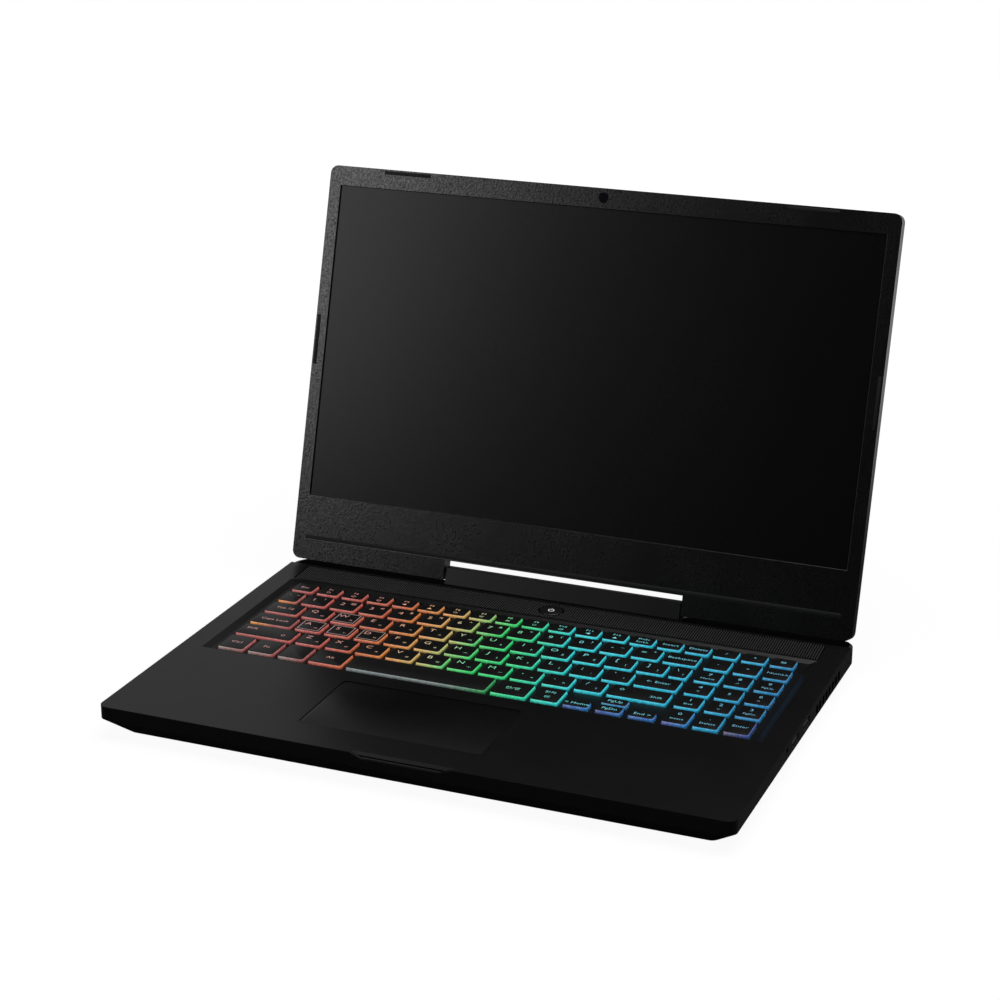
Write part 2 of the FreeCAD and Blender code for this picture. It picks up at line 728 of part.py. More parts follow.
def top_case():
    """Palm rest, side band and hinge trough, open underneath."""
    plan = rounded_rectangle("top_case_plan", (-half_width, half_width), (front_edge, s.base_depth),
                             s.front_corner, s.rear_corner)
    body = extruded("top_case_body", plan, deck)
    beyond = s.case_wall
    fall = (parting_front - parting_rear) / s.base_depth * beyond
    below = side_profile("below_parting", [(-beyond, -beyond), (s.base_depth + beyond, -beyond),
                         (s.base_depth + beyond, parting_rear - fall), (-beyond, parting_front + fall)],
                         s.case_width + beyond)
    inner_rear = s.base_depth - s.case_wall
    step = trough_front - s.case_wall
    inside = side_profile("top_case_inside", [(s.case_wall, -beyond), (inner_rear, -beyond),
                          (inner_rear, trough - s.deck_wall), (step, trough - s.deck_wall), (step, ceiling),
                          (s.case_wall, ceiling)], s.case_width - 2 * s.case_wall)
    hinge_trough = block("hinge_trough", (-half_width - beyond, half_width + beyond),
                         (trough_front, s.base_depth + beyond), (trough, deck + beyond))
    slope = s.well_slope
    well = loft("keyboard_well",
                plan_outline("well_top", well_half_width, well_front, well_rear, deck),
                plan_outline("well_bottom", well_half_width - slope, well_front + slope / 2,
                             well_rear - slope / 2, ceiling))
    strip_x = (-grille_half_width, grille_half_width)
    strip_y = (grille_front, grille_rear)
    strip_recess = block("strip_recess", strip_x, strip_y, (deck - s.grille_thickness, deck + beyond))
    ledge = s.grille_ledge
    strip_opening = block("strip_opening", (strip_x[0] + ledge, strip_x[1] - ledge),
                          (strip_y[0] + ledge, strip_y[1] - ledge), (ceiling - beyond, deck))
    gap = s.running_gap
    pad_x, pad_y = touchpad_plan()
    pad_opening = plate("pad_opening", (pad_x[0] - gap, pad_x[1] + gap), (pad_y[0] - gap, pad_y[1] + gap),
                        (ceiling - beyond, deck + beyond), s.touchpad_corner + gap)
    notch_floor = deck - s.notch_depth
    notch = loft("finger_notch",
                 plan_outline("notch_top", s.notch_top / 2, -beyond, s.notch_depth, deck),
                 plan_outline("notch_bottom", s.notch_bottom / 2, -beyond, s.notch_depth / 2, notch_floor))
    shell = cut("top_case_shell", body, below, inside, hinge_trough)
    deck_cut = cut("top_case_openings", shell, well, strip_recess, pad_opening, notch)
    lower_cut = cut("top_case_strip", deck_cut, strip_opening)
    base_node("top_case", cut("top_case_solid", lower_cut, *side_openings()))


def side_openings():
    """Holes for the sockets, the lock slot and the vents in the two side walls."""
    shell = s.port_shell
    wall_x = (half_width - 2 * s.case_wall, half_width + s.case_wall)
    usb_outer = s.usb_width + 2 * shell
    video_outer = s.video_width + 2 * shell
    usb_c_outer = s.usb_c_width + 2 * shell
    audio_start = (wall_x[0], audio_back, deck - s.audio_drop)
    holes = [
        port_hole("usb_front_hole", False, usb_front, usb_outer, usb_span()),
        port_hole("usb_rear_hole", False, usb_rear, usb_outer, usb_span()),
        rod("audio_hole", s.audio_radius + shell, audio_start, 3 * s.case_wall, ALONG_X),
        port_hole("network_hole", True, network_back, s.network_width, network_span()),
        port_hole("video_hole", True, video_back, video_outer, on_board(s.video_height)),
        port_hole("usb_c_hole", True, usb_c_back, usb_c_outer, on_board(s.usb_c_height)),
        port_hole("power_hole", True, power_back, s.power_body, power_span()),
        block("lock_slot", mirrored(wall_x), around(lock_back, s.lock_width),
              around(s.power_middle, s.lock_height)),
    ]
    return holes + side_slots("right_vent", wall_x) + side_slots("left_vent", mirrored(wall_x))


def plan_outline(name, half, front, rear, height):
    """A plain rectangle seen from above, at a height."""
    sketch = outline(name, [(-half, front), (half, front), (half, rear), (-half, rear)])
    bind(sketch, "Placement.Base.z", height)
    return sketch


def touchpad_plan():
    front = s.touchpad_front
    return (around(s.touchpad_centre, s.touchpad_width), (front, front + touchpad_depth))


def board_posts():
    """Places of the bosses that carry the motherboard."""
    outer = board_half_width - 4 * s.boss_radius
    inner = board_waist_half_width - 2 * s.boss_radius
    front = board_front + 2 * s.boss_radius
    rear = board_rear - 2 * s.boss_radius
    return [(x, y) for y, reach in ((front, outer), (rear, inner)) for x in (-reach, reach)]


def screw_places():
    offset = half_width - s.screw_inset
    rows = (s.screw_front, from_rear(s.screw_middle_place), from_rear(s.screw_rear_place))
    return [(x, y) for y in rows for x in (-offset, middle, offset)]


def bottom_case():
    """The drawn-in tray under the base, with bosses, slots and screw holes."""
    wall = s.case_wall
    upper = parted_outline("tray_rim", half_width, (front_edge, s.base_depth), s.front_corner, s.rear_corner)
    lower_half = half_width - s.draw_in_side
    lower_y = (s.draw_in_front, s.base_depth - s.draw_in_rear)
    lower = rounded_rectangle("tray_underside", (-lower_half, lower_half), lower_y,
                              s.front_corner, s.rear_corner)
    bind(lower, "Placement.Base.z", underside)
    inner_upper = parted_outline("tray_inner_rim", half_width - wall, (wall, s.base_depth - wall),
                                 s.front_corner - wall, s.rear_corner - wall)
    inner_half = lower_half - wall
    inner_lower = rounded_rectangle("tray_inner_floor", (-inner_half, inner_half),
                                    (lower_y[0] + wall, lower_y[1] - wall),
                                    s.front_corner - wall, s.rear_corner - wall)
    bind(inner_lower, "Placement.Base.z", floor)
    tray = cut("tray", loft("tray_outer", lower, upper), loft("tray_inner", inner_lower, inner_upper))
    boss_foot = underside + s.tray_floor / 2
    boss_height = board_bottom - boss_foot
    bosses = [post("board_boss", POST_SIDES, s.boss_radius, (x, y, boss_foot), boss_height)
              for x, y in board_posts()]
    holes = [post("screw_hole", SCREW_SIDES, s.screw_radius + s.seam, (x, y, underside - wall),
                  wall + s.screw_height) for x, y in screw_places()]
    slots = []
    for side in (-1, 1):
        slots += floor_slots("intake", fan_middle * side, fan_back, s.intake_slot_length, s.intake_slot_width,
                             s.intake_slot_pitch, s.intake_slot_count)
        slots += floor_slots("sound", speaker_offset * side, s.speaker_front + speaker_depth / 2,
                             s.sound_slot_length, s.sound_slot_width, s.sound_slot_pitch, s.sound_slot_count)
    base_node("bottom_case",
              cut("bottom_case_solid", fuse("tray_with_bosses", tray, *bosses), *slots, *holes))


def floor_slots(name, across, back, length, width, pitch, count):
    """A block of slots through the floor of the bottom case."""
    total = round(count.number)
    z = (underside - s.case_wall, floor + s.case_wall)
    return [block(f"{name}_slot", around(across, length),
                  around(back + pitch * (index - (total - 1) / 2), width), z) for index in range(total)]


def feet_and_screws():
    z = (desk, underside)
    corner = s.foot_corner
    rear_length = s.case_width - 2 * s.rear_foot_margin
    rear = trimmed_plate("rear_foot", around(middle, rear_length),
                         around(from_rear(s.rear_foot_place), s.foot_width), z, corner)
    offset = half_width - s.front_foot_inset
    front_y = around(s.front_foot_back, s.foot_width)
    fronts = [trimmed_plate(f"front_foot_{index}", around(offset * side, s.front_foot_length), front_y, z,
                            corner)
              for index, side in enumerate((-1, 1))]
    base_node("rubber_feet", rear, *fronts)
    heads = [post("screw_head", SCREW_SIDES, s.screw_radius, (x, y, underside), s.screw_height)
             for x, y in screw_places()]
    base_node("bottom_screws", *heads)


def hinge_cover():
    """The raised block between the lid's legs: a thin shell, open underneath."""
    wall = s.cover_wall

    def profile(inset, low):
        front = cover_front + inset
        rear = cover_rear - inset
        top = deck + s.cover_height - inset
        return [(front, low), (rear, low), (rear, deck + s.cover_rear_height - inset), (crest_rear, top),
                (crest_front + inset / 2, top), (front, deck + s.running_gap)]

    shell = side_profile("cover_outside", profile(as_length(0), trough), cover_width)
    inside = side_profile("cover_inside", profile(wall, trough - wall), cover_width - 2 * wall)
    ends = rod("cover_pin_holes", s.pin_radius + s.running_gap, (-cover_width, hinge_back, hinge_height),
               2 * cover_width, ALONG_X)
    base_node("hinge_cover", cut("hinge_cover_solid", shell, inside, ends))


def hinges():
    """Brackets with their pins on the base, and arms with their barrels on the lid, on both sides."""
    inner_end = cover_width / 2 - 2 * s.cover_wall
    reach = s.notch_width / 2 + s.lid_wall + s.cover_wall
    length = s.barrel_length
    radius = s.barrel_radius
    leaf = s.leaf_thickness
    for side, side_name in ((-1, "left"), (1, "right")):
        def sided(low, high):
            return (low, high) if side > 0 else (-high, -low)
        barrel_x = sided(inner_end - length, inner_end)
        pin_x = sided(inner_end - length, reach + length)
        arm_x = sided(reach, reach + length)
        leaf_x = sided(inner_end - 3 * length, inner_end)
        leaf_y = (hinge_back - 2 * radius, hinge_back + radius / 2)
        bracket = fuse(f"hinge_bracket_{side_name}_solid",
                       block("leaf", leaf_x, leaf_y, (trough, trough + leaf)),
                       block("web", barrel_x, around(hinge_back, leaf), (trough, hinge_height)),
                       rod("bracket_barrel", radius, (barrel_x[0], hinge_back, hinge_height), length,
                           ALONG_X),
                       rod("pin", s.pin_radius, (pin_x[0], hinge_back, hinge_height), pin_x[1] - pin_x[0],
                           ALONG_X))
        base_node(f"hinge_bracket_{side_name}", bracket)
        axis = as_length(0)
        arm = fuse(f"hinge_arm_{side_name}_sheet",
                   block("arm", arm_x, (-radius, s.arm_length), (lid_floor, lid_floor + leaf)),
                   rod("arm_barrel", radius, (arm_x[0], axis, axis), length, ALONG_X))
        bore = rod("arm_bore", s.pin_radius + s.pin_play, (arm_x[0] - s.case_wall, axis, axis),
                   length + 2 * s.case_wall, ALONG_X)
        lid_node(f"hinge_arm_{side_name}", cut(f"hinge_arm_{side_name}_solid", arm, bore))


def screen_span():
    return (s.screen_rise, s.screen_rise + screen_height)


def lid_plan(name, z):
    return plate(name, (-half_width, half_width), (-s.leg_drop, lid_rise), z, s.lid_corner)


def leg_gap(name):
    return block(name, around(middle, s.notch_width), (-2 * s.leg_drop, s.notch_rise),
                 (-2 * s.lid_back, 2 * s.lid_front))


def lid_back_cover():
    """The lid's outer shell with its two legs, ribs behind the panel and slanted back edges."""
    wall = s.lid_wall
    body = lid_plan("lid_body", (-s.lid_back, bezel_back))
    back_level = -s.lid_back.number

    def on_back(edge):
        return all(abs(vertex.Point.z - back_level) < 1e-6 for vertex in edge.Vertexes)

    edged = slanted("lid_edged", body, s.lid_edge, on_back)
    inner_half = half_width - wall
    leg_inner = s.notch_width / 2 + wall
    hollow_z = (lid_floor, bezel_back + wall)
    main = block("lid_hollow", (-inner_half, inner_half), (s.notch_rise + wall, lid_rise - wall), hollow_z)
    leg_up = (wall - s.leg_drop, s.notch_rise + 2 * wall)
    legs = [block("leg_hollow", across, leg_up, hollow_z)
            for across in ((-inner_half, -leg_inner), (leg_inner, inner_half))]
    axis = as_length(0)
    pin_holes = rod("leg_pin_holes", s.pin_radius + s.running_gap, (-leg_inner - wall / 2, axis, axis),
                    2 * leg_inner + wall, ALONG_X)
    shell = cut("lid_shell", edged, leg_gap("lid_leg_gap"), fuse("lid_hollows", main, *legs))
    rib_z = (lid_floor - s.lid_skin / 2, panel_back)
    ribs = [block("lid_rib", around(s.rib_offset * place, s.rib_width), screen_span(), rib_z)
            for place in (-1, 0, 1)]
    lid_node("lid_back_cover", cut("lid_back_cover_solid", fuse("lid_with_ribs", shell, *ribs), pin_holes))


def bumper_plans():
    """Spans of the four rubber bumpers, each a pair (across, up)."""
    top_up = (lid_rise - s.bumper_inset - s.bumper_width, lid_rise - s.bumper_inset)
    edge = (half_width - s.bumper_inset - s.bumper_width, half_width - s.bumper_inset)
    side_up = around(s.side_bumper_rise, s.side_bumper_length)
    return [(around(-s.top_bumper_centre, s.top_bumper_length), top_up),
            (around(s.top_bumper_centre, s.top_bumper_length), top_up),
            (mirrored(edge), side_up), (edge, side_up)]


def strip_plan():
    length = s.case_width - 2 * s.strip_side_margin
    return (around(middle, length), (s.strip_rise, s.strip_rise + s.strip_width))


def lid_front():
    """Bezel, display panel, rubber bumpers, long strip and camera."""
    face = s.lid_front
    sheet_plate = lid_plan("bezel_sheet", (bezel_back, face))
    through_z = (bezel_back - face, 2 * face)
    window = block("screen_window", around(middle, screen_width), screen_span(), through_z)
    pocket_z = (face - s.bumper_depth, 2 * face)
    pockets = [block("bumper_pocket", across, up, pocket_z) for across, up in bumper_plans() + [strip_plan()]]
    camera_hole = rod("camera_hole", s.camera_radius, (middle, camera_rise, through_z[0]), 3 * face)
    lid_node("lid_bezel", cut("lid_bezel_solid", sheet_plate, window, leg_gap("bezel_leg_gap"), *pockets,
                              camera_hole))

    proud_z = (face - s.bumper_depth, face + s.bumper_proud)
    lid_node("lid_bumpers", *[block("bumper", across, up, proud_z) for across, up in bumper_plans()])
    lid_node("lid_rubber_strip", block("strip", *strip_plan(), proud_z))

    lap = s.panel_lap
    low, high = screen_span()
    lid_node("display_panel", block("panel", around(middle, screen_width + 2 * lap), (low - lap, high + lap),
                                    (panel_back, bezel_back)))
    lid_node("camera_board", block("camera_strip", around(middle, s.camera_board_width),
                                   around(camera_rise, s.camera_board_height),
                                   (bezel_back - s.camera_board_thickness, bezel_back)))
    lid_node("camera_lens", rod("lens", s.camera_radius - s.seam, (middle, camera_rise, bezel_back),
                                s.bezel_thickness - s.seam))


def row_front(row):
    """Front edge of a key row, counted from the space bar row."""
    if row == BOTTOM_ROW:
        return bottom_row_front
    return bottom_row_front + s.bottom_row_pitch + s.row_pitch * (row - 1)


def row_span(row):
    depth = s.bottom_row_pitch if row == BOTTOM_ROW else s.row_pitch
    return (row_front(row), row_front(row) + depth - s.row_gap)


def letter_row(row, start_ratio, count):
    """Caps of a letter row: the wide key at the left, the letters, the wide key at the right."""
    start = key_pitch * start_ratio - key_left
    letters = [(start + key_pitch * index, start + key_pitch * (index + 1) - s.key_gap)
               for index in range(count)]
    left = (-key_left, start - s.key_gap)
    right = (start + key_pitch * count, key_block_right)
    span = row_span(row)
    return (left, span), [(x, span) for x in letters], (right, span)


def bottom_row():
    """Caps of the space bar row, by name."""
    span = row_span(BOTTOM_ROW)
    low, high = span
    gap = s.key_gap
    caps = {}
    x = -key_left
    for name, ratio in (("control", s.modifier_ratio), ("function", s.modifier_ratio),
                        ("system", s.modifier_ratio), ("alt", s.alt_ratio)):
        caps[name] = ((x, x + key_pitch * ratio - gap), span)
        x = x + key_pitch * ratio
    arrow_pitch = key_pitch * s.arrow_ratio
    arrows_left = key_block_right + s.arrow_gap - 3 * arrow_pitch
    menu_left = arrows_left - key_pitch * s.menu_ratio
    language_left = menu_left - key_pitch * s.alt_ratio
    caps["space"] = ((x, language_left - gap), span)
    caps["language"] = ((language_left, menu_left - gap), span)
    caps["menu"] = ((menu_left, arrows_left - gap), span)
    half = (high - low - s.half_key_gap) / 2
    for index, name in enumerate(("left", "down", "right")):
        x = arrows_left + arrow_pitch * index
        caps[name] = ((x, x + arrow_pitch - s.arrow_gap), (low, low + half))
    caps["up"] = (caps["down"][0], (high - half, high))
    return caps


def key_plan():
    """Every cap as (x span, y span), grouped by the node it belongs to."""
    grave, numbers, backspace = letter_row(NUMBER_ROW, s.number_row_ratio, NUMBER_KEYS)
    tab, upper, backslash = letter_row(UPPER_ROW, s.upper_row_ratio, UPPER_KEYS)
    caps_lock, home, enter = letter_row(HOME_ROW, s.home_row_ratio, HOME_KEYS)
    left_shift, lower, right_shift = letter_row(LOWER_ROW, s.lower_row_ratio, LOWER_KEYS)
    bottom = bottom_row()
    function_y = (function_row_front, function_row_front + s.function_depth)
    function = []
    for index in range(FUNCTION_KEYS):
        x = function_pitch * index - key_left
        function.append(((x, x + function_pitch - s.function_gap), function_y))
    pad = []
    for row in (BOTTOM_ROW, LOWER_ROW, HOME_ROW, UPPER_ROW, NUMBER_ROW):
        for column in range(PAD_COLUMNS):
            x = pad_left + pad_pitch * column
            pad.append(((x, x + pad_pitch - s.pad_gap), row_span(row)))
    modifiers = ("control", "function", "system", "alt", "language", "menu")
    return {
        "function_row_keys": function,
        "number_row_keys": [grave, *numbers],
        "backspace_key": [backspace],
        "tab_key": [tab],
        "upper_letter_keys": [*upper, backslash],
        "caps_lock_key": [caps_lock],
        "home_letter_keys": home,
        "enter_key": [enter],
        "left_shift_key": [left_shift],
        "lower_letter_keys": lower,
        "right_shift_key": [right_shift],
        "modifier_keys": [bottom[name] for name in modifiers],
        "space_bar": [bottom["space"]],
        "arrow_keys": [bottom[name] for name in ("left", "down", "right", "up")],
        "number_pad_keys": pad,
    }


def key_cap(name, x, y):
    """One cap: a block that draws in towards its top, with its corners cut off."""
    top = deck + s.cap_proud
    taper = s.cap_taper
    cap = doc.addObject("Part::Wedge", name)
    cap.Placement = FreeCAD.Placement(FreeCAD.Vector(), FreeCAD.Rotation(X_AXIS, 90))
    spans = {"X": x, "Z": mirrored(y), "Y": (top - s.cap_height, top),
             "X2": (x[0] + taper, x[1] - taper), "Z2": mirrored((y[0] + taper, y[1] - taper))}
    for axis, (low, high) in spans.items():
        bind(cap, axis + "min", low)
        bind(cap, axis + "max", high)
    return slanted(name + "_trimmed", cap, s.cap_corner, is_upright)


def keyboard():
    """Caps, the frame with a hole for each, and the light guide that closes it from below."""
    gap = s.running_gap
    holes = []
    for label, caps in key_plan().items():
        base_node(label, *[key_cap(f"{label}_{index}", x, y) for index, (x, y) in enumerate(caps)])
        holes += [block("cap_hole", (x[0] - gap, x[1] + gap), (y[0] - gap, y[1] + gap),
                        (frame_bottom - gap, frame_top + gap)) for x, y in caps]
    lap = s.frame_lap
    reach = well_half_width - s.well_slope + lap
    frame_x = (-reach, reach)
    frame_y = (well_front + s.well_slope / 2 - lap, well_rear - s.well_slope / 2 + lap)
    sheet_plate = block("key_sheet", frame_x, frame_y, (frame_bottom, frame_top))
    base_node("keyboard_frame", cut("keyboard_frame_solid", sheet_plate, *holes))
    base_node("keyboard_light_guide", block("guide", frame_x, frame_y, (guide_bottom, frame_bottom)))


def touchpad():
    """The hinged touchpad and the sheet bracket that carries it under the palm rest."""
    x, y = touchpad_plan()
    top = deck - s.touchpad_sink
    under = top - s.touchpad_thickness
    base_node("touchpad", plate("pad", x, y, (under, top), s.touchpad_corner))
    rim = s.bracket_rim
    sheet_thickness = s.bracket_thickness
    low = under - s.press_room - sheet_thickness
    gap = 2 * s.running_gap
    outer = block("bracket_outer", (x[0] - rim, x[1] + rim), (y[0] - rim, y[1] + rim), (low, ceiling))
    hollow = block("bracket_hollow", (x[0] - gap, x[1] + gap), (y[0] - gap, y[1] + gap),
                   (low + sheet_thickness, deck))
    base_node("touchpad_bracket", cut("touchpad_bracket_solid", outer, hollow))


def strip_and_button():
    """The hatched strip behind the keyboard and the power button in it."""
    gap = s.seam
    x = (gap - grille_half_width, grille_half_width - gap)
    y = (grille_front + gap, grille_rear - gap)
    strip = block("strip_sheet", x, y, (deck - s.grille_thickness, deck))
    hole = rod("button_hole", s.button_radius + s.running_gap,
               (middle, button_back, deck - 2 * s.grille_thickness), 3 * s.grille_thickness)
    base_node("rear_grille", cut("rear_grille_solid", strip, hole))
    base_node("power_button", rod("button", s.button_radius, (middle, button_back, deck - s.button_height),
                                  s.button_height))


def socket(name, left_side, back, width, z, opening_z, tongue):
    """A socket shell, open to the side, with its contact tongue."""
    shell = s.port_shell
    outer_x = (half_width - s.port_sink - s.port_depth, half_width - s.port_sink)
    mouth_x = (outer_x[0] + shell, half_width + shell)
    tongue_x = (outer_x[0], outer_x[1] - 2 * s.port_sink)
    if left_side:
        outer_x, mouth_x, tongue_x = mirrored(outer_x), mirrored(mouth_x), mirrored(tongue_x)
    body = block(name + "_body", outer_x, around(back, width + 2 * shell), z)
    mouth = block(name + "_mouth", mouth_x, around(back, width), opening_z)
    hollow = cut(name + "_hollow", body, mouth)
    low, high = opening_z
    tongue_y = around(back, width * s.tongue_ratio)
    return fuse(name, hollow, block(name + "_tongue", tongue_x, tongue_y, around((low + high) / 2, tongue)))


def inner_span(z, wall):
    low, high = z
    return (low + wall, high - wall)


def sockets():
    """The sockets in the two sides."""
    shell = s.port_shell
    usb_z = usb_span()
    usb = [socket(f"usb_{index}", False, back, s.usb_width, usb_z, inner_span(usb_z, shell), s.usb_tongue)
           for index, back in enumerate((usb_front, usb_rear))]
    base_node("usb_sockets", *usb)
    audio_socket()
    body_x = (s.port_sink - half_width, s.port_sink + s.port_depth - half_width)
    network_z = network_span()
    network_body = block("network_body", body_x, around(network_back, s.network_width), network_z)
    network_mouth = block("network_mouth", (-half_width - shell, body_x[1] - shell),
                          around(network_back, s.network_opening), inner_span(network_z, s.network_wall))
    base_node("network_socket", cut("network_solid", network_body, network_mouth))
    video_z = on_board(s.video_height)
    base_node("video_socket", socket("video", True, video_back, s.video_width, video_z,
                                     inner_span(video_z, shell), s.video_tongue))
    usb_c_z = on_board(s.usb_c_height)
    base_node("usb_c_socket", socket("usb_c", True, usb_c_back, s.usb_c_width, usb_c_z,
                                     inner_span(usb_c_z, shell), s.usb_c_tongue))
    power_block = block("power_block", body_x, around(power_back, s.power_body), power_span())
    power_bore = rod("power_bore", s.power_radius, (-half_width - shell, power_back, s.power_middle),
                     s.port_depth, ALONG_X)
    power_hollow = cut("power_hollow", power_block, power_bore)
    pin_start = (body_x[0] + 2 * s.port_sink, power_back, s.power_middle)
    power_pin = rod("power_pin", s.power_pin_radius, pin_start, s.port_depth - 2 * s.port_sink, ALONG_X)
    base_node("power_inlet", fuse("power_inlet_solid", power_hollow, power_pin))


def audio_socket():
    """A round socket for a plug, with a nose that reaches through the side wall."""
    inner = half_width - s.port_sink - s.port_depth
    height = deck - s.audio_drop
    body = block("audio_body", (inner, half_width - s.case_wall - s.seam), around(audio_back, s.audio_width),
                 audio_span())
    nose = rod("audio_nose", s.audio_radius + s.port_shell - s.seam, (inner, audio_back, height),
               s.port_depth, ALONG_X)
    bore_start = (half_width - s.port_sink - s.audio_bore_depth, audio_back, height)
    bore = rod("audio_bore", s.audio_radius, bore_start, s.audio_bore_depth + s.case_wall, ALONG_X)
    base_node("audio_socket", cut("audio_socket_solid", fuse("audio_shell", body, nose), bore))


def motherboard():
    """The main board with its memory socket bar and card connectors, and what plugs into it."""
    board_z = (board_bottom, board_top)
    wide = block("board_wide", (-board_half_width, board_half_width), (board_front, board_waist), board_z)
    narrow = block("board_narrow", (-board_waist_half_width, board_waist_half_width),
                   (board_waist - s.board_thickness, board_rear), board_z)
    network_clear = block("network_clear", (-half_width, s.port_depth + s.seam + s.port_sink - half_width),
                          around(network_back, s.network_width + 4 * s.seam), (underside, deck))
    module_x = around(middle, s.module_width)
    module_y = (module_back, module_back + s.module_depth)
    bar_y = (module_y[1], module_y[1] + s.socket_depth)
    bar = block("memory_bar", module_x, bar_y, (board_bottom - 2 * s.module_step, board_bottom))
    modules = []
    for index in (0, 1):
        top = board_bottom - s.module_step * index
        modules.append(block("memory_module", module_x, module_y, (top - s.module_thickness, top)))
    drive_left = s.drive_inset - board_waist_half_width
    drive_x = (drive_left, drive_left + s.drive_length)
    drive_y = (drive_back, drive_back + s.drive_width)
    drive_z = (board_bottom - s.drive_thickness, board_bottom)
    card_left = drive_x[1] + s.connector_depth + s.drive_width / 2
    card_x = (card_left, card_left + s.card_length)
    card_y = (drive_back, drive_back + s.card_width)
    card_z = (board_bottom - s.card_thickness, board_bottom)
    drive_connector = block("drive_connector", (drive_x[1], drive_x[1] + s.connector_depth), drive_y,
                            (drive_z[0] - s.seam, board_bottom))
    card_connector = block("card_connector", (card_x[1], card_x[1] + s.connector_depth), card_y,
                           (card_z[0] - s.seam, board_bottom))
    board = fuse("board_fused", wide, narrow, bar, drive_connector, card_connector)
    base_node("motherboard", cut("motherboard_solid", board, network_clear))
    base_node("memory_modules", *modules)
    base_node("solid_state_drive", block("drive", drive_x, drive_y, drive_z))
    base_node("wireless_card", block("card", card_x, card_y, card_z))


def cooling():
    """Chips, heat pipes, fin stacks, fan housings and rotors, the same to both sides."""
    chip_z = (chip_bottom, board_bottom)
    base_node("processor", block("processor_block", around(s.chip_offset, s.processor_size),
                                 around(chip_back, s.processor_size), chip_z))
    base_node("graphics_chip", block("graphics_block", around(-s.chip_offset, s.graphics_size),
                                     around(chip_back, s.graphics_size), chip_z))
    pipes = []
    pipe_z = (pipe_bottom, chip_bottom)
    fin_x = (fin_outer - s.fin_stack_width, fin_outer)
    fin_y = around(fan_back, s.fin_stack_length)
    bend_x = around((fin_x[0] + fin_x[1]) / 2, s.pipe_width)
    run_y = around(chip_back, s.pipe_width)
    for side, side_name in ((-1, "left"), (1, "right")):
        def sided(span):
            return span if side > 0 else mirrored(span)
        run = block("pipe_run", sided((s.chip_offset / 2, bend_x[1])), run_y, pipe_z)
        rise = block("pipe_rise", sided(bend_x), (run_y[0], fin_y[1]), pipe_z)
        corner_x = sided(bend_x)[1 if side > 0 else 0].number
        corner_y = run_y[0].number

        def at_bend(edge):
            points = [vertex.Point for vertex in edge.Vertexes]
            return is_upright(edge) and all(abs(p.x - corner_x) + abs(p.y - corner_y) < 1e-6 for p in points)

        bent = fuse(f"pipe_{side_name}_bent", run, rise)
        pipes.append(rounded(f"pipe_{side_name}", bent, s.pipe_bend, at_bend))
        fin_stack(side_name, sided(fin_x), fin_y)
        fan(side_name, side)
    base_node("heat_pipes", *pipes)


def fin_stack(side_name, x, y):
    """Thin fins on a base plate, repeated along the stack."""
    plate_z = (chip_bottom, chip_bottom + s.fin_plate)
    fin_z = (chip_bottom, chip_bottom + s.fin_height)
    pitch = (y[1] - y[0] - s.fin_thickness) / (s.fin_count - 1)
    pieces = [block("fin_base", x, y, plate_z)]
    for index in range(round(s.fin_count.number)):
        front = y[0] + pitch * index
        pieces.append(block("fin", x, (front, front + s.fin_thickness), fin_z))
    base_node(f"fin_stack_{side_name}", fuse(f"fin_stack_{side_name}_solid", *pieces))


def fan(side_name, side):
    """A flat blower: housing with an intake and an open side, and a rotor on the housing's shaft."""
    across = fan_middle * side
    thin = s.fan_sheet
    x = around(across, s.fan_size)
    y = around(fan_back, s.fan_size)
    z = (floor, floor + s.fan_height)
    body = trimmed_plate(f"fan_body_{side_name}", x, y, z, s.inner_corner)
    mouth_x = (x[0] + thin * side, x[1] + thin * side)
    hollow = block("fan_hollow", mouth_x, (y[0] + thin, y[1] - thin), (z[0] + thin, z[1] - thin))
    intake = post("fan_intake", INTAKE_SIDES, s.intake_radius, (across, fan_back, z[0] - thin), 3 * thin)
    shaft_top = z[1] - thin / 2
    shaft_reach = s.shaft_length + thin
    shaft = rod("fan_shaft", s.shaft_radius, (across, fan_back, shaft_top - shaft_reach), shaft_reach)
    shell = cut(f"fan_shell_{side_name}", body, hollow, intake)
    base_node(f"fan_housing_{side_name}", fuse(f"fan_housing_{side_name}_solid", shell, shaft))
    rotor_z = z[0] + thin + s.rotor_clearance
    base_node(f"fan_rotor_{side_name}", rotor(side_name, across, rotor_z, shaft_top - shaft_reach))


def origin_feature(body, role):
    return next(feature for feature in body.Origin.OriginFeatures if feature.Role == role)


def body_sketch(body, name):
    sketch = body.newObject("Sketcher::SketchObject", name)
    sketch.AttachmentSupport = [(origin_feature(body, "XY_Plane"), "")]
    sketch.MapMode = "FlatFace"
    return sketch


def circle_in(sketch, radius, name):
    sketch.addGeometry(Part.Circle(FreeCAD.Vector(), Z_AXIS, radius.number))
    last = sketch.GeometryCount - 1
    sketch.addConstraint(Sketcher.Constraint("Coincident", last, 3, -1, 1))
    name_constraints(sketch, [("Radius", (last,), radius, name)])


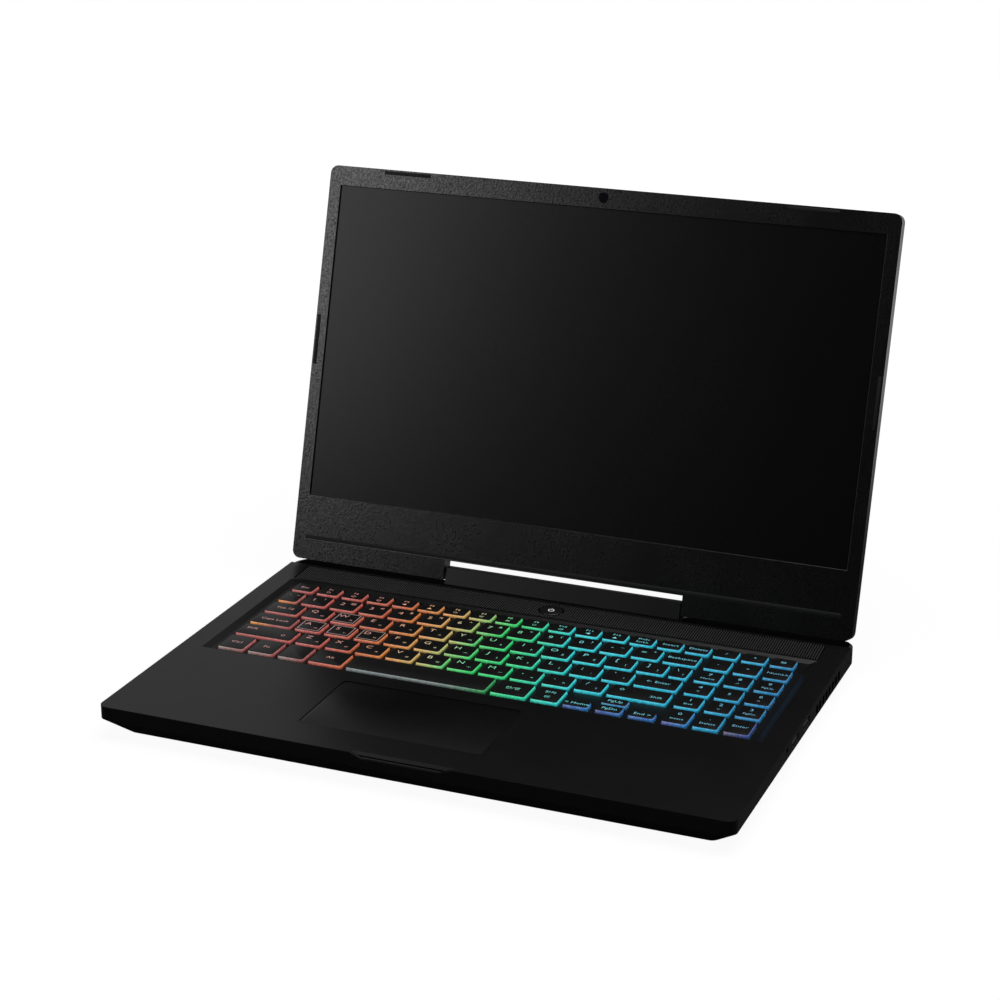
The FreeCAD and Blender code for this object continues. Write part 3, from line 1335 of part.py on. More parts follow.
def rotor(side_name, across, low, bore_bottom):
    """Hub with trailing blades in a circle, and a blind bore for the shaft."""
    body = doc.addObject("PartDesign::Body", f"rotor_{side_name}")
    hub_sketch = body_sketch(body, f"hub_sketch_{side_name}")
    circle_in(hub_sketch, s.hub_radius, "hub_radius")
    hub = body.newObject("PartDesign::Pad", f"hub_{side_name}")
    hub.Profile = hub_sketch
    bind(hub, "Length", s.rotor_height)
    blade_sketch = body_sketch(body, f"blade_sketch_{side_name}")
    root = s.hub_radius - s.blade_thickness
    tip = s.rotor_radius - s.blade_thickness
    draw_outline(blade_sketch, [(root, -s.blade_thickness / 2), (tip, s.blade_lean - s.blade_thickness),
                                (tip, s.blade_lean), (root, s.blade_thickness / 2)])
    blade = body.newObject("PartDesign::Pad", f"blade_{side_name}")
    blade.Profile = blade_sketch
    bind(blade, "Length", s.rotor_height)
    doc.recompute()
    ring = body.newObject("PartDesign::PolarPattern", f"blades_{side_name}")
    ring.Originals = [blade]
    ring.Axis = (origin_feature(body, "Z_Axis"), [""])
    ring.Angle = 360
    ring.Occurrences = round(s.blade_count.number)
    body.Tip = ring
    for axis, value in zip("xyz", (across, fan_back, low)):
        bind(body, "Placement.Base." + axis, value)
    bore_low = bore_bottom - s.running_gap
    bore = rod(f"rotor_bore_{side_name}", s.shaft_radius + s.shaft_play, (across, fan_back, bore_low),
               low + s.rotor_height - bore_low + s.seam)
    return cut(f"rotor_{side_name}_solid", body, bore)


def battery_and_speakers():
    battery_width = s.case_width - 2 * s.battery_margin
    base_node("battery", trimmed_plate("battery_pack", around(middle, battery_width),
                                       (s.battery_front, board_front - s.battery_gap),
                                       (floor, floor + s.battery_height), s.inner_corner))
    speaker_y = (s.speaker_front, s.speaker_front + speaker_depth)
    speaker_z = (floor, floor + s.speaker_height)
    for side, side_name in ((-1, "left"), (1, "right")):
        across = around(speaker_offset * side, s.speaker_width)
        base_node(f"speaker_{side_name}",
                  trimmed_plate(f"speaker_box_{side_name}", across, speaker_y, speaker_z, s.inner_corner))


def check_and_write():
    """Stops if anything failed, then writes every piece to its own file."""
    doc.recompute()
    failed = [thing.Name for thing in doc.Objects if {"Invalid", "Error"} & set(thing.State)]
    failed += [label for label, node in nodes.items() if node.Shape.isNull() or not node.Shape.isValid()]
    failed += [label for label, node in nodes.items() if not node.Shape.Solids]
    if failed:
        raise RuntimeError("failed pieces: " + ", ".join(failed))
    os.makedirs("parts", exist_ok=True)
    for label, node in nodes.items():
        node.Shape.exportStep(f"parts/{label}.step")


top_case()
bottom_case()
feet_and_screws()
hinge_cover()
hinges()
lid_back_cover()
lid_front()
keyboard()
touchpad()
strip_and_button()
sockets()
motherboard()
cooling()
battery_and_speakers()
check_and_write()
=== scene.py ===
import json
import math

import bmesh
import bpy
from mathutils import Matrix, Vector

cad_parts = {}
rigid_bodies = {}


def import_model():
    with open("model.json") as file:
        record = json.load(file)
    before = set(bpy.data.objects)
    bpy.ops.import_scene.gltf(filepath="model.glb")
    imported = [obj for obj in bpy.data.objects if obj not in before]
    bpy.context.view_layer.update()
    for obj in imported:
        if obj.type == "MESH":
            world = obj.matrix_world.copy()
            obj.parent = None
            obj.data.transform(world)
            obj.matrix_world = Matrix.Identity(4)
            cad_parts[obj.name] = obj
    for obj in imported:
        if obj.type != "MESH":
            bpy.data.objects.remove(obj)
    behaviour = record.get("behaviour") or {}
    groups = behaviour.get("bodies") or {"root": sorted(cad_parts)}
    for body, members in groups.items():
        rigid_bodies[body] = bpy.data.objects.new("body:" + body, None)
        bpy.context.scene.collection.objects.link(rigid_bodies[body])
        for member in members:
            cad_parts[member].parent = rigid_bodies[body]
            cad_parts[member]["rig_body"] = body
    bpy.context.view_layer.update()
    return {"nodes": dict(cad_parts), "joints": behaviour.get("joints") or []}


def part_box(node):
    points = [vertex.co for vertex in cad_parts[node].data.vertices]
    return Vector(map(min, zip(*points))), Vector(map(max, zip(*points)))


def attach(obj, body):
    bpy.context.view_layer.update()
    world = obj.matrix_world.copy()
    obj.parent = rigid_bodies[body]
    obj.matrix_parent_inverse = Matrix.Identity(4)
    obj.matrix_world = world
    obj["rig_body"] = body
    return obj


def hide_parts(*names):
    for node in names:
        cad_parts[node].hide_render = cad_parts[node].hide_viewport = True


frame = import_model()

# Sizes in metres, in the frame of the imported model, and shares of such sizes
MM = 0.001
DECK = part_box("top_case")[1].z
CAP_TAPER = 0.5 * MM
CAP_CORNER = 1.3 * MM
CAP_RIM = 0.22 * MM
SKIRT_TOP = 0.3 * MM
LEGEND_DEPTH = 0.03 * MM
LETTER_WIDTH = 1.2
STROKE_THINNING = 0.012
HINGE = next(joint for joint in frame["joints"] if joint["name"] == "lid_hinge")
LID_AXIS = Vector(HINGE["pos_m"])
LID_TURN = math.radians(180 - HINGE["range_deg"][1])
BEZEL_FACE = 5.7 * MM
PANEL_FACE = 4.6 * MM
SCREEN_WIDTH = 345.2 * MM
SCREEN_HEIGHT = 194.4 * MM
SCREEN_RISE = 35.36 * MM
RIB_PITCH = 1.5 * MM
RIB_WIDTH = 0.6 * MM
RIB_SLANT = -0.04
HAIR = 0.01 * MM

# How flat a face and how upright an edge is when it is picked, and the sharpest bend that is shaded smooth
FLAT_ENOUGH = 0.9
UPRIGHT_ENOUGH = 0.8
CREASE_DEGREES = 35

# The rear and the front end of the keys
KEYS_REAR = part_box("function_row_keys")[1].y
KEYS_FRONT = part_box("modifier_keys")[0].y

# Colours that the lamps under the keys take, each with its place across in mm at the rear and the front row
GLOW = [
    (-165, -165, (0.70, 0.33, 0.31)),
    (-125, -100, (0.80, 0.35, 0.31)),
    (-88, -85, (0.84, 0.40, 0.25)),
    (-70, -70, (0.92, 0.52, 0.20)),
    (-52, -55, (0.95, 0.68, 0.36)),
    (-36, -42, (0.86, 0.82, 0.48)),
    (-22, -30, (0.42, 0.90, 0.48)),
    (-10, -12, (0.16, 0.93, 0.46)),
    (-2, 18, (0.12, 0.93, 0.58)),
    (8, 36, (0.12, 0.93, 0.80)),
    (24, 56, (0.12, 0.92, 0.95)),
    (80, 90, (0.10, 0.83, 0.95)),
    (130, 125, (0.08, 0.74, 0.92)),
    (165, 165, (0.06, 0.50, 0.76)),
]

# Keys whose skirts have colours of their own, by row and number from the left: the colours at the left and
# at the right end, and the shares of the width between which one turns into the other
SALMON = (0.68, 0.34, 0.33)
PALE = (0.60, 0.52, 0.50)
OWN_SKIRT = {
    ("modifier_keys", 0): (PALE, SALMON, 0.8, 1.0),
    ("modifier_keys", 1): (PALE, SALMON, 0.7, 1.0),
    ("modifier_keys", 2): (PALE, SALMON, 0.5, 1.0),
    ("space_bar", 0): ((0.50, 0.54, 0.54), (0.14, 0.66, 0.34), 0.75, 1.0),
    ("number_row_keys", 0): ((0.94, 0.56, 0.14), SALMON, 0.6, 1.0),
    ("caps_lock_key", 0): ((0.92, 0.60, 0.14), SALMON, 0.1, 0.6),
    ("arrow_keys", 0): ((0.12, 0.58, 0.72), (0.14, 0.50, 0.76), 0.0, 1.0),
    ("arrow_keys", 1): ((0.30, 0.42, 0.70), (0.12, 0.50, 0.80), 0.0, 1.0),
    ("arrow_keys", 2): ((0.34, 0.38, 0.66), (0.12, 0.46, 0.78), 0.0, 1.0),
    ("arrow_keys", 3): ((0.26, 0.46, 0.74), (0.12, 0.44, 0.76), 0.0, 1.0),
    ("number_pad_keys", 12): ((0.36, 0.36, 0.64), (0.10, 0.54, 0.84), 0.0, 1.0),
    ("number_pad_keys", 14): ((0.42, 0.40, 0.52), (0.16, 0.30, 0.62), 0.0, 1.0),
}

# Words on the caps, each row from the rear left: the main ones, then the second ones, where - means none
LEGENDS = {
    "function_row_keys": (
        "stack",
        "Esc F1 F2 F3 F4 F5 F6 F7 F8 F9 F10 F11 F12 PrtSc Insert Delete / * ☰",
        "- ○ ☀ ☀ ◀ ▲ ○ ▤ ☰ ○ ☀ ◀ ▲ ScrLk - - - - -",
    ),
    "number_row_keys": ("shifted", "` 1 2 3 4 5 6 7 8 9 0 - =", "~ ! @ # $ % ^ & * ( ) _ +"),
    "backspace_key": ("single", "Backspace", "-"),
    "tab_key": ("stack", "Tab_⇆", "-"),
    "upper_letter_keys": (
        "letter", "Q W E R T Y U I O P [ ] \\", "ㅂ ㅈ ㄷ ㄱ ㅅ ㅛ ㅕ ㅑ ㅐ ㅔ { } |"),
    "caps_lock_key": ("single", "Caps_Lock", "-"),
    "home_letter_keys": ("letter", "A S D F G H J K L ; '", "ㅁ ㄴ ㅇ ㄹ ㅎ ㅗ ㅓ ㅏ ㅣ : \""),
    "enter_key": ("single", "←_Enter", "-"),
    "left_shift_key": ("spread", "Shift", "⇧"),
    "lower_letter_keys": ("letter", "Z X C V B N M , . /", "ㅋ ㅌ ㅊ ㅍ ㅠ ㅜ ㅡ < > ?"),
    "right_shift_key": ("spread", "⇧", "Shift"),
    "modifier_keys": ("single", "Ctrl Fn - Alt 한/영 한자", "- - - - - ▤"),
    "arrow_keys": ("single", "PgUp <_Home PgDn End_>", "- - - -"),
    "number_pad_keys": (
        "stack",
        "- + NumLk 7 8 9 4 5 6 1 2 3 0 . Enter",
        "none none none Home ∧ PgUp < none > End ∨ PgDn Insert Delete none",
    ),
}
KEY_NODES = list(LEGENDS) + ["space_bar"]
FRAMED_KEYS = {"upper_letter_keys": [1], "home_letter_keys": [0, 1, 2]}


# Shaping by hand: what is picked, moved, cut and joined


def select_only(*pieces):
    """Leaves edit mode and selects these pieces and nothing else."""
    if bpy.context.mode != "OBJECT":
        bpy.ops.object.mode_set(mode="OBJECT")
    bpy.ops.object.select_all(action="DESELECT")
    for piece in pieces:
        piece.select_set(True)
    bpy.context.view_layer.objects.active = pieces[0]


def start(name):
    """Names the primitive that was just added and puts its place into its mesh."""
    piece = bpy.context.object
    piece.name = name
    piece.data.name = name
    bpy.ops.object.transform_apply(location=True, rotation=True, scale=True)
    return piece


def block(name, low, high):
    """A block between two corners."""
    bpy.ops.object.select_all(action="DESELECT")
    low = Vector(low)
    high = Vector(high)
    bpy.ops.mesh.primitive_cube_add(size=1, location=(low + high) / 2, scale=high - low)
    return start(name)


def sheet(name, low, high):
    """A flat face between two corners that lie at one height."""
    bpy.ops.object.select_all(action="DESELECT")
    low = Vector(low)
    high = Vector(high)
    bpy.ops.mesh.primitive_plane_add(size=1, location=(low + high) / 2)
    bpy.context.object.scale = (high.x - low.x, high.y - low.y, 1)
    return start(name)


def disc(name, centre, radius, corners):
    """A filled circle that faces up."""
    bpy.ops.object.select_all(action="DESELECT")
    bpy.ops.mesh.primitive_circle_add(vertices=corners, radius=radius, fill_type="NGON", location=centre)
    return start(name)


def shape(piece):
    """Opens a piece for shaping, with nothing picked."""
    select_only(piece)
    bpy.ops.object.mode_set(mode="EDIT")
    bpy.ops.mesh.select_mode(type="FACE")
    bpy.ops.mesh.select_all(action="DESELECT")


def done():
    """Closes the open piece."""
    bpy.ops.object.mode_set(mode="OBJECT")


def pick(kind, wanted):
    """Picks the faces, edges or corners of the open piece that pass a test."""
    bpy.ops.mesh.select_mode(type=kind)
    bpy.ops.mesh.select_all(action="DESELECT")
    mesh = bmesh.from_edit_mesh(bpy.context.edit_object.data)
    elements = {"FACE": mesh.faces, "EDGE": mesh.edges, "VERT": mesh.verts}[kind]
    for element in elements:
        if wanted(element):
            element.select_set(True)
    mesh.select_flush_mode()
    bmesh.update_edit_mesh(bpy.context.edit_object.data)


def faces_up(face):
    """Whether a face looks up."""
    return face.normal.z > FLAT_ENOUGH


def faces_down(face):
    """Whether a face looks down."""
    return face.normal.z < -FLAT_ENOUGH


def stands_upright(edge):
    """Whether an edge stands upright."""
    run = edge.verts[1].co - edge.verts[0].co
    return abs(run.z) > UPRIGHT_ENOUGH * run.length


def copy_of(piece, name):
    """A copy of a piece with its own mesh."""
    select_only(piece)
    bpy.ops.object.duplicate(linked=False)
    bpy.context.object.name = name
    return bpy.context.object


def joined(name, pieces):
    """Several pieces as one."""
    select_only(*pieces)
    if len(pieces) > 1:
        bpy.ops.object.join()
    piece = bpy.context.object
    piece.name = name
    piece.data.name = name
    bpy.ops.object.transform_apply(location=True, rotation=True, scale=True)
    return piece


def drop(piece):
    """Takes a helper piece away."""
    select_only(piece)
    bpy.ops.object.delete()


def modified(piece, kind, **settings):
    """Adds a modifier and applies it."""
    select_only(piece)
    modifier = piece.modifiers.new(kind.lower(), kind)
    for setting, value in settings.items():
        setattr(modifier, setting, value)
    bpy.ops.object.modifier_apply(modifier=modifier.name)
    return piece


def smooth(piece, crease=CREASE_DEGREES):
    """Shades a piece smooth, with creases at sharper edges."""
    select_only(piece)
    bpy.ops.object.shade_smooth_by_angle(angle=math.radians(crease))
    return piece


def hollow_out(line):
    """Leaves a thin outline of the open flat piece."""
    bpy.ops.mesh.select_all(action="SELECT")
    bpy.ops.mesh.inset(thickness=line, depth=0)
    bpy.ops.mesh.delete(type="FACE")


def extrude_up(height):
    """Extrudes all of the open piece upwards and turns its faces outwards."""
    bpy.ops.mesh.select_all(action="SELECT")
    bpy.ops.mesh.extrude_region_move(TRANSFORM_OT_translate={"value": (0, 0, height)})
    bpy.ops.mesh.select_all(action="SELECT")
    bpy.ops.mesh.normals_make_consistent(inside=False)


def ring(name, low, high, line, height):
    """A thin frame with its outer edge between two corners, raised by its height."""
    outline = sheet(name, low, high)
    shape(outline)
    hollow_out(line)
    extrude_up(height)
    done()
    return outline


def rounded_upright(piece, width, segments):
    """Rounds the upright edges of a piece."""
    shape(piece)
    pick("EDGE", stands_upright)
    bpy.ops.mesh.bevel(offset=width, segments=segments, affect="EDGES")
    done()
    return piece


def cut_from(piece, cutter):
    """Takes the shape of a cutter out of a piece, and the cutter away."""
    modified(piece, "BOOLEAN", operation="DIFFERENCE", object=cutter, solver="EXACT")
    drop(cutter)
    return piece


def onto_lid(piece):
    """Turns a piece that was modelled flat (across, up the lid, out of the bezel) to where the lid stands."""
    piece.rotation_euler.x = LID_TURN
    piece.location = LID_AXIS
    select_only(piece)
    bpy.ops.object.transform_apply(location=True, rotation=True, scale=True)
    return piece


def fit(piece, body, slot, *finishes):
    """Gives a finished piece its finishes and its body; its slot is not used."""
    for finish in finishes:
        piece.data.materials.append(finish)
    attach(piece, body)
    return piece


# Finishes


def linear(level):
    """A display level from 0 to 1 as linear light, by the usual display curve."""
    if level <= 0.04045:
        return level / 12.92
    return ((level + 0.055) / 1.055) ** 2.4


def colour(red, green, blue):
    """A display colour as the linear one that sockets take."""
    return (linear(red), linear(green), linear(blue), 1.0)


class Signal:
    """An output socket of a finish, on which sums and products add Math nodes."""

    def __init__(self, tree, socket=None):
        self.tree = tree
        self.socket = socket

    def node(self, kind, settings=(), sockets=(), output=0):
        """Adds any other node: its settings first, then the values or links of its sockets."""
        made = self.tree.nodes.new(kind)
        for name, value in dict(settings).items():
            if name == "stops":
                self.set_stops(made.color_ramp, value)
            else:
                setattr(made, name, value)
        for name, value in dict(sockets).items():
            if isinstance(value, Signal):
                self.tree.links.new(value.socket, made.inputs[name])
            else:
                made.inputs[name].default_value = value
        return Signal(self.tree, made.outputs[output])

    @staticmethod
    def set_stops(ramp, stops):
        """Puts the stops of a ramp, each a place from 0 to 1 and a colour."""
        while len(ramp.elements) > 1:
            ramp.elements.remove(ramp.elements[-1])
        ramp.elements[0].position = stops[0][0]
        ramp.elements[0].color = stops[0][1]
        for place, tint in stops[1:]:
            ramp.elements.new(place).color = tint

    def math(self, operation, first, second):
        return self.node("ShaderNodeMath", {"operation": operation}, {0: first, 1: second})

    def __add__(self, other):
        return self.math("ADD", self, other)

    __radd__ = __add__

    def __sub__(self, other):
        return self.math("SUBTRACT", self, other)

    def __rsub__(self, other):
        return self.math("SUBTRACT", other, self)

    def __mul__(self, other):
        return self.math("MULTIPLY", self, other)

    __rmul__ = __mul__

    def __truediv__(self, other):
        return self.math("DIVIDE", self, other)

    def __pow__(self, other):
        return self.math("POWER", self, other)


def new_finish(name):
    """An empty finish and the start of its tree."""
    material = bpy.data.materials.new(name)
    material.use_nodes = True
    return material, Signal(material.node_tree)


def dress(material, sockets):
    """Sets or links the sockets of a finish's main shader."""
    shader = material.node_tree.nodes["Principled BSDF"]
    for name, value in sockets.items():
        if isinstance(value, Signal):
            material.node_tree.links.new(value.socket, shader.inputs[name])
        else:
            shader.inputs[name].default_value = value
    return material


def position(tree):
    """The place on the piece, in metres."""
    return tree.node("ShaderNodeTexCoord", output="Object")


def noise(tree, grain, detail=2.0):
    """Soft noise whose lumps are about one grain across, from 0 to 1."""
    sockets = {"Vector": position(tree), "Scale": 1 / grain, "Detail": detail}
    return tree.node("ShaderNodeTexNoise", {}, sockets, "Fac")


def blended(tree, factor, first, second):
    """The first colour where the factor is 0, the second where it is 1."""
    return tree.node("ShaderNodeMix", {"data_type": "RGBA"}, {0: factor, 6: first, 7: second}, 2)


def eased(tree, value, first, last, low, high):
    """A value's run from first to last as an eased run from low to high."""
    run = {"Value": value, "From Min": first, "From Max": last, "To Min": low, "To Max": high}
    return tree.node("ShaderNodeMapRange", {"interpolation_type": "SMOOTHSTEP"}, run)


def measure(tree, operation, *vectors):
    """A number that is worked out from vectors, such as a length."""
    return tree.node("ShaderNodeVectorMath", {"operation": operation}, dict(enumerate(vectors)), "Value")


def ray(tree, kind):
    """1 for light rays of one kind, 0 for the others."""
    return tree.node("ShaderNodeLightPath", output="Is " + kind + " Ray")


def bumped(tree, height, strength, depth):
    """The normals of a surface that rises by a depth where the height is 1."""
    sockets = {"Height": height, "Strength": strength, "Distance": depth}
    return tree.node("ShaderNodeBump", {}, sockets, "Normal")


def moulded(name, dark, light, roughness, grain, strength, gloss=0.5, depth=0.1 * MM, flecks=0.0):
    """Moulded plastic: an even fine grain, faint clouds in its colour and a sheen that varies a little.

    With flecks, the grain glints like sand.
    """
    cloud_size = 38 * MM
    spread = 0.08
    material, tree = new_finish(name)
    clouds = noise(tree, cloud_size, detail=3.0)
    speckle = noise(tree, grain, detail=1.0)
    mottle = blended(tree, clouds * 0.5 + speckle * 0.5, colour(*dark), colour(*light))
    sheen = roughness + (clouds - 0.5) * spread + (speckle - 0.5) * spread
    return dress(material, {
        "Base Color": mottle,
        "Metallic": speckle * flecks if flecks else 0.0,
        "Roughness": sheen,
        "Specular IOR Level": gloss,
        "Normal": bumped(tree, speckle, strength, depth),
    })


def metal(name, dark, light, roughness, grain, stretch):
    """Worked metal: its marks run along one way, by how much the grain is stretched on each axis."""
    cloud_size = 14 * MM
    line_spread = 0.16
    cloud_spread = 0.1
    mark_strength = 0.12
    mark_depth = 0.05 * MM
    material, tree = new_finish(name)
    drawn = tree.node("ShaderNodeMapping", {}, {"Vector": position(tree), "Scale": stretch})
    lines = tree.node("ShaderNodeTexNoise", {}, {"Vector": drawn, "Scale": 1 / grain, "Detail": 3.0}, "Fac")
    clouds = noise(tree, cloud_size, detail=3.0)
    return dress(material, {
        "Base Color": blended(tree, lines * 0.6 + clouds * 0.4, colour(*dark), colour(*light)),
        "Metallic": 1.0,
        "Roughness": roughness + (lines - 0.5) * line_spread + (clouds - 0.5) * cloud_spread,
        "Normal": bumped(tree, lines, mark_strength, mark_depth),
    })


def screen_glass():
    """The matte front of the panel, dark when it is off."""
    material, tree = new_finish("screen_matte_glass")
    haze = noise(tree, 90 * MM, detail=2.0)
    etch = noise(tree, 0.25 * MM, detail=1.0)
    return dress(material, {
        "Base Color": blended(tree, haze, (0.0012, 0.0012, 0.0013, 1), (0.0018, 0.0018, 0.002, 1)),
        "Roughness": 0.27 + (haze - 0.5) * 0.02 + (etch - 0.5) * 0.03,
        "Specular IOR Level": 0.2,
        "Normal": bumped(tree, etch, 0.02, 0.02 * MM),
    })


def lens_glass():
    """The dark window of the camera, under a clear coat."""
    material, tree = new_finish("camera_lens_glass")
    flecks = noise(tree, 1.2 * MM)
    return dress(material, {
        "Base Color": blended(tree, flecks, colour(0.02, 0.02, 0.03), colour(0.06, 0.06, 0.09)),
        "Roughness": 0.06 + flecks * 0.05,
        "Coat Weight": 0.6,
        "Normal": bumped(tree, flecks, 0.03, 0.02 * MM),
    })


def circuit_board():
    """Solder mask over copper tracks."""
    material, tree = new_finish("circuit_board")
    cells = {"Vector": position(tree), "Scale": 1 / (3.2 * MM)}
    tracks = tree.node("ShaderNodeTexVoronoi", {"distance": "MANHATTAN", "feature": "F1"}, cells, "Distance")
    clouds = noise(tree, 9 * MM)
    return dress(material, {
        "Base Color": blended(tree, tracks, colour(0.03, 0.13, 0.09), colour(0.10, 0.28, 0.19)),
        "Roughness": 0.35 + clouds * 0.2,
        "Normal": bumped(tree, tracks, 0.4, 0.1 * MM),
    })


def key_skirt():
    """The clear skirt of a cap, lit from inside: palest under the rim, deeper towards its foot."""
    foot_light = 0.1
    streak_share = 0.5
    pale_share = 0.6
    rim_white = (0.9, 0.9, 0.9, 1)
    unlit = (0, 0, 0, 1)
    material, tree = new_finish("lit_key_skirt")
    low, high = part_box("space_bar")
    glow = tree.node("ShaderNodeVertexColor", {"layer_name": "glow"}, {}, "Color")
    streaks = noise(tree, 1.4 * MM)
    height = tree.node("ShaderNodeSeparateXYZ", {}, {0: position(tree)}, "Z")
    rise = (height - low.z) / (high.z - low.z)
    light = foot_light + rise * (1 - foot_light) + (streaks - 0.5) * streak_share
    lit = blended(tree, light, unlit, glow)
    pale = blended(tree, rise ** 3 * (streaks - 0.3) * pale_share, lit, rim_white)
    return dress(material, {
        "Base Color": blended(tree, streaks, colour(0.05, 0.05, 0.05), colour(0.12, 0.12, 0.12)),
        "Roughness": 0.3 + streaks * 0.2,
        "Emission Color": pale,
        "Emission Strength": 1.0,
        "Normal": bumped(tree, streaks, 0.1, 0.05 * MM),
    })


def lit_print(name, strength):
    """Clear lettering that the light shines through, in the colour that its points carry."""
    material, tree = new_finish(name)
    glow = tree.node("ShaderNodeVertexColor", {"layer_name": "glow"}, {}, "Color")
    wear = noise(tree, 0.8 * MM)
    return dress(material, {
        "Base Color": blended(tree, wear, colour(0.2, 0.2, 0.2), colour(0.35, 0.35, 0.35)),
        "Roughness": 0.4 + wear * 0.2,
        "Emission Color": blended(tree, 0.6 + wear * 0.6, (0, 0, 0, 1), glow),
        "Emission Strength": strength,
        "Normal": bumped(tree, wear, 0.05, 0.02 * MM),
    })


def light_guide():
    """The milky sheet under the keys, lit in the keys' colours."""
    material, tree = new_finish("light_guide")
    across = tree.node("ShaderNodeSeparateXYZ", {}, {0: position(tree)}, "X")
    first = GLOW[0][0]
    length = GLOW[-1][0] - first
    stops = [(((at_rear + at_front) / 2 - first) / length, colour(*tint)) for at_rear, at_front, tint in GLOW]
    share = (across / MM - first) / length
    glow = tree.node("ShaderNodeValToRGB", {"stops": stops}, {0: share}, "Color")
    dots = noise(tree, 2 * MM)
    return dress(material, {
        "Base Color": blended(tree, dots, colour(0.7, 0.7, 0.7), colour(0.85, 0.85, 0.85)),
        "Roughness": 0.4 + dots * 0.2,
        "Emission Color": glow,
        "Emission Strength": 0.25,
        "Normal": bumped(tree, dots, 0.1, 0.05 * MM),
    })


def all_finishes():
    """Every finish, by the material slot that it belongs to, and the black coat of the hinges, which also
    serves as painted shade in the hinge trough.
    """
    black = (0.0, 0.0, 0.0)
    pitch = (0.02, 0.02, 0.02)
    night = (0.03, 0.03, 0.031)
    ink = (0.045, 0.045, 0.047)
    coal = (0.075, 0.075, 0.078)
    return {
        "case_plastic": moulded("satin_case_plastic", pitch, ink, 0.34, 0.4 * MM, 0.08, gloss=0.22),
        "bezel_plastic": moulded("sandy_bezel_plastic", black, (0.055, 0.055, 0.056), 0.26,
                                 1.2 * MM, 0.3, gloss=0.82, depth=0.15 * MM, flecks=1.0),
        "grille_plastic": moulded("hatched_strip_plastic", (0.155, 0.155, 0.16), (0.23, 0.23, 0.235),
                                  0.36, 0.35 * MM, 0.1, gloss=0.35),
        "key_plastic": moulded("soft_cap_plastic", pitch, ink, 0.42, 0.3 * MM, 0.12, gloss=0.25),
        "button_plastic": moulded("button_plastic", ink, coal, 0.3, 0.6 * MM, 0.04),
        "touchpad_surface": moulded("touchpad_glass", (0.015, 0.015, 0.015), ink, 0.28, 0.25 * MM, 0.05,
                                    gloss=0.2),
        "screen_glass": screen_glass(),
        "lens_glass": lens_glass(),
        "rubber": moulded("soft_rubber", night, ink, 0.7, 0.5 * MM, 0.2, gloss=0.25),
        "keyboard_metal": metal("dark_frame_metal", (0.10, 0.10, 0.105), (0.16, 0.16, 0.165),
                                0.5, 0.6 * MM, (0.2, 1, 1)),
        "light_guide": light_guide(),
        "steel": metal("pressed_steel", (0.55, 0.55, 0.56), (0.72, 0.72, 0.73),
                       0.3, 0.5 * MM, (0.15, 1, 1)),
        "socket_plastic": moulded("socket_plastic", ink, coal, 0.38, 0.4 * MM, 0.08),
        "circuit_board": circuit_board(),
        "chip_package": metal("chip_cover", (0.50, 0.50, 0.52), (0.64, 0.64, 0.66),
                              0.35, 0.7 * MM, (1, 0.2, 1)),
        "copper": metal("copper_pipe", (0.62, 0.34, 0.22), (0.82, 0.50, 0.36),
                        0.32, 0.9 * MM, (0.15, 1, 1)),
        "aluminium_fins": metal("aluminium_fins", (0.66, 0.67, 0.68), (0.80, 0.81, 0.82),
                                0.35, 0.4 * MM, (1, 1, 0.2)),
        "fan_plastic": moulded("fan_plastic", ink, coal, 0.42, 0.5 * MM, 0.08),
        "battery_wrap": moulded("battery_wrap", ink, (0.11, 0.11, 0.115), 0.35, 1.5 * MM, 0.15),
        "speaker_plastic": moulded("speaker_plastic", ink, coal, 0.5, 0.5 * MM, 0.15),
        # This matt black is the hinges' coat and also the painted shade in the hinge trough
        "black_coat_and_painted_shade": moulded("matt_black_coat_and_painted_shade", black, (0.03, 0.03, 0.03), 0.85, 0.5 * MM, 0.2,
                              gloss=0.02),
    }


def dress_nodes(finishes):
    """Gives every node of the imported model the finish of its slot, and the hinges a black coat."""
    for name, node in frame["nodes"].items():
        for holder in node.material_slots:
            slot = "black_coat_and_painted_shade" if name.startswith("hinge_bracket") else holder.material.name
            holder.material = finishes[slot]


# The keyboard


def cap_boxes(node):
    """Lowest and highest corners of the caps of a row, from the rear left."""
    mesh = frame["nodes"][node].data
    groups = []
    for polygon in mesh.polygons:
        spots = {tuple(round(c, 6) for c in mesh.vertices[v].co) for v in polygon.vertices}
        touching = [group for group in groups if group & spots]
        for group in touching:
            groups.remove(group)
            spots |= group
        groups.append(spots)
    boxes = []
    for spots in groups:
        low = Vector([min(spot[axis] for spot in spots) for axis in range(3)])
        high = Vector([max(spot[axis] for spot in spots) for axis in range(3)])
        boxes.append((low, high))
    return sorted(boxes, key=lambda box: (-round(box[1].y, 4), box[0].x))


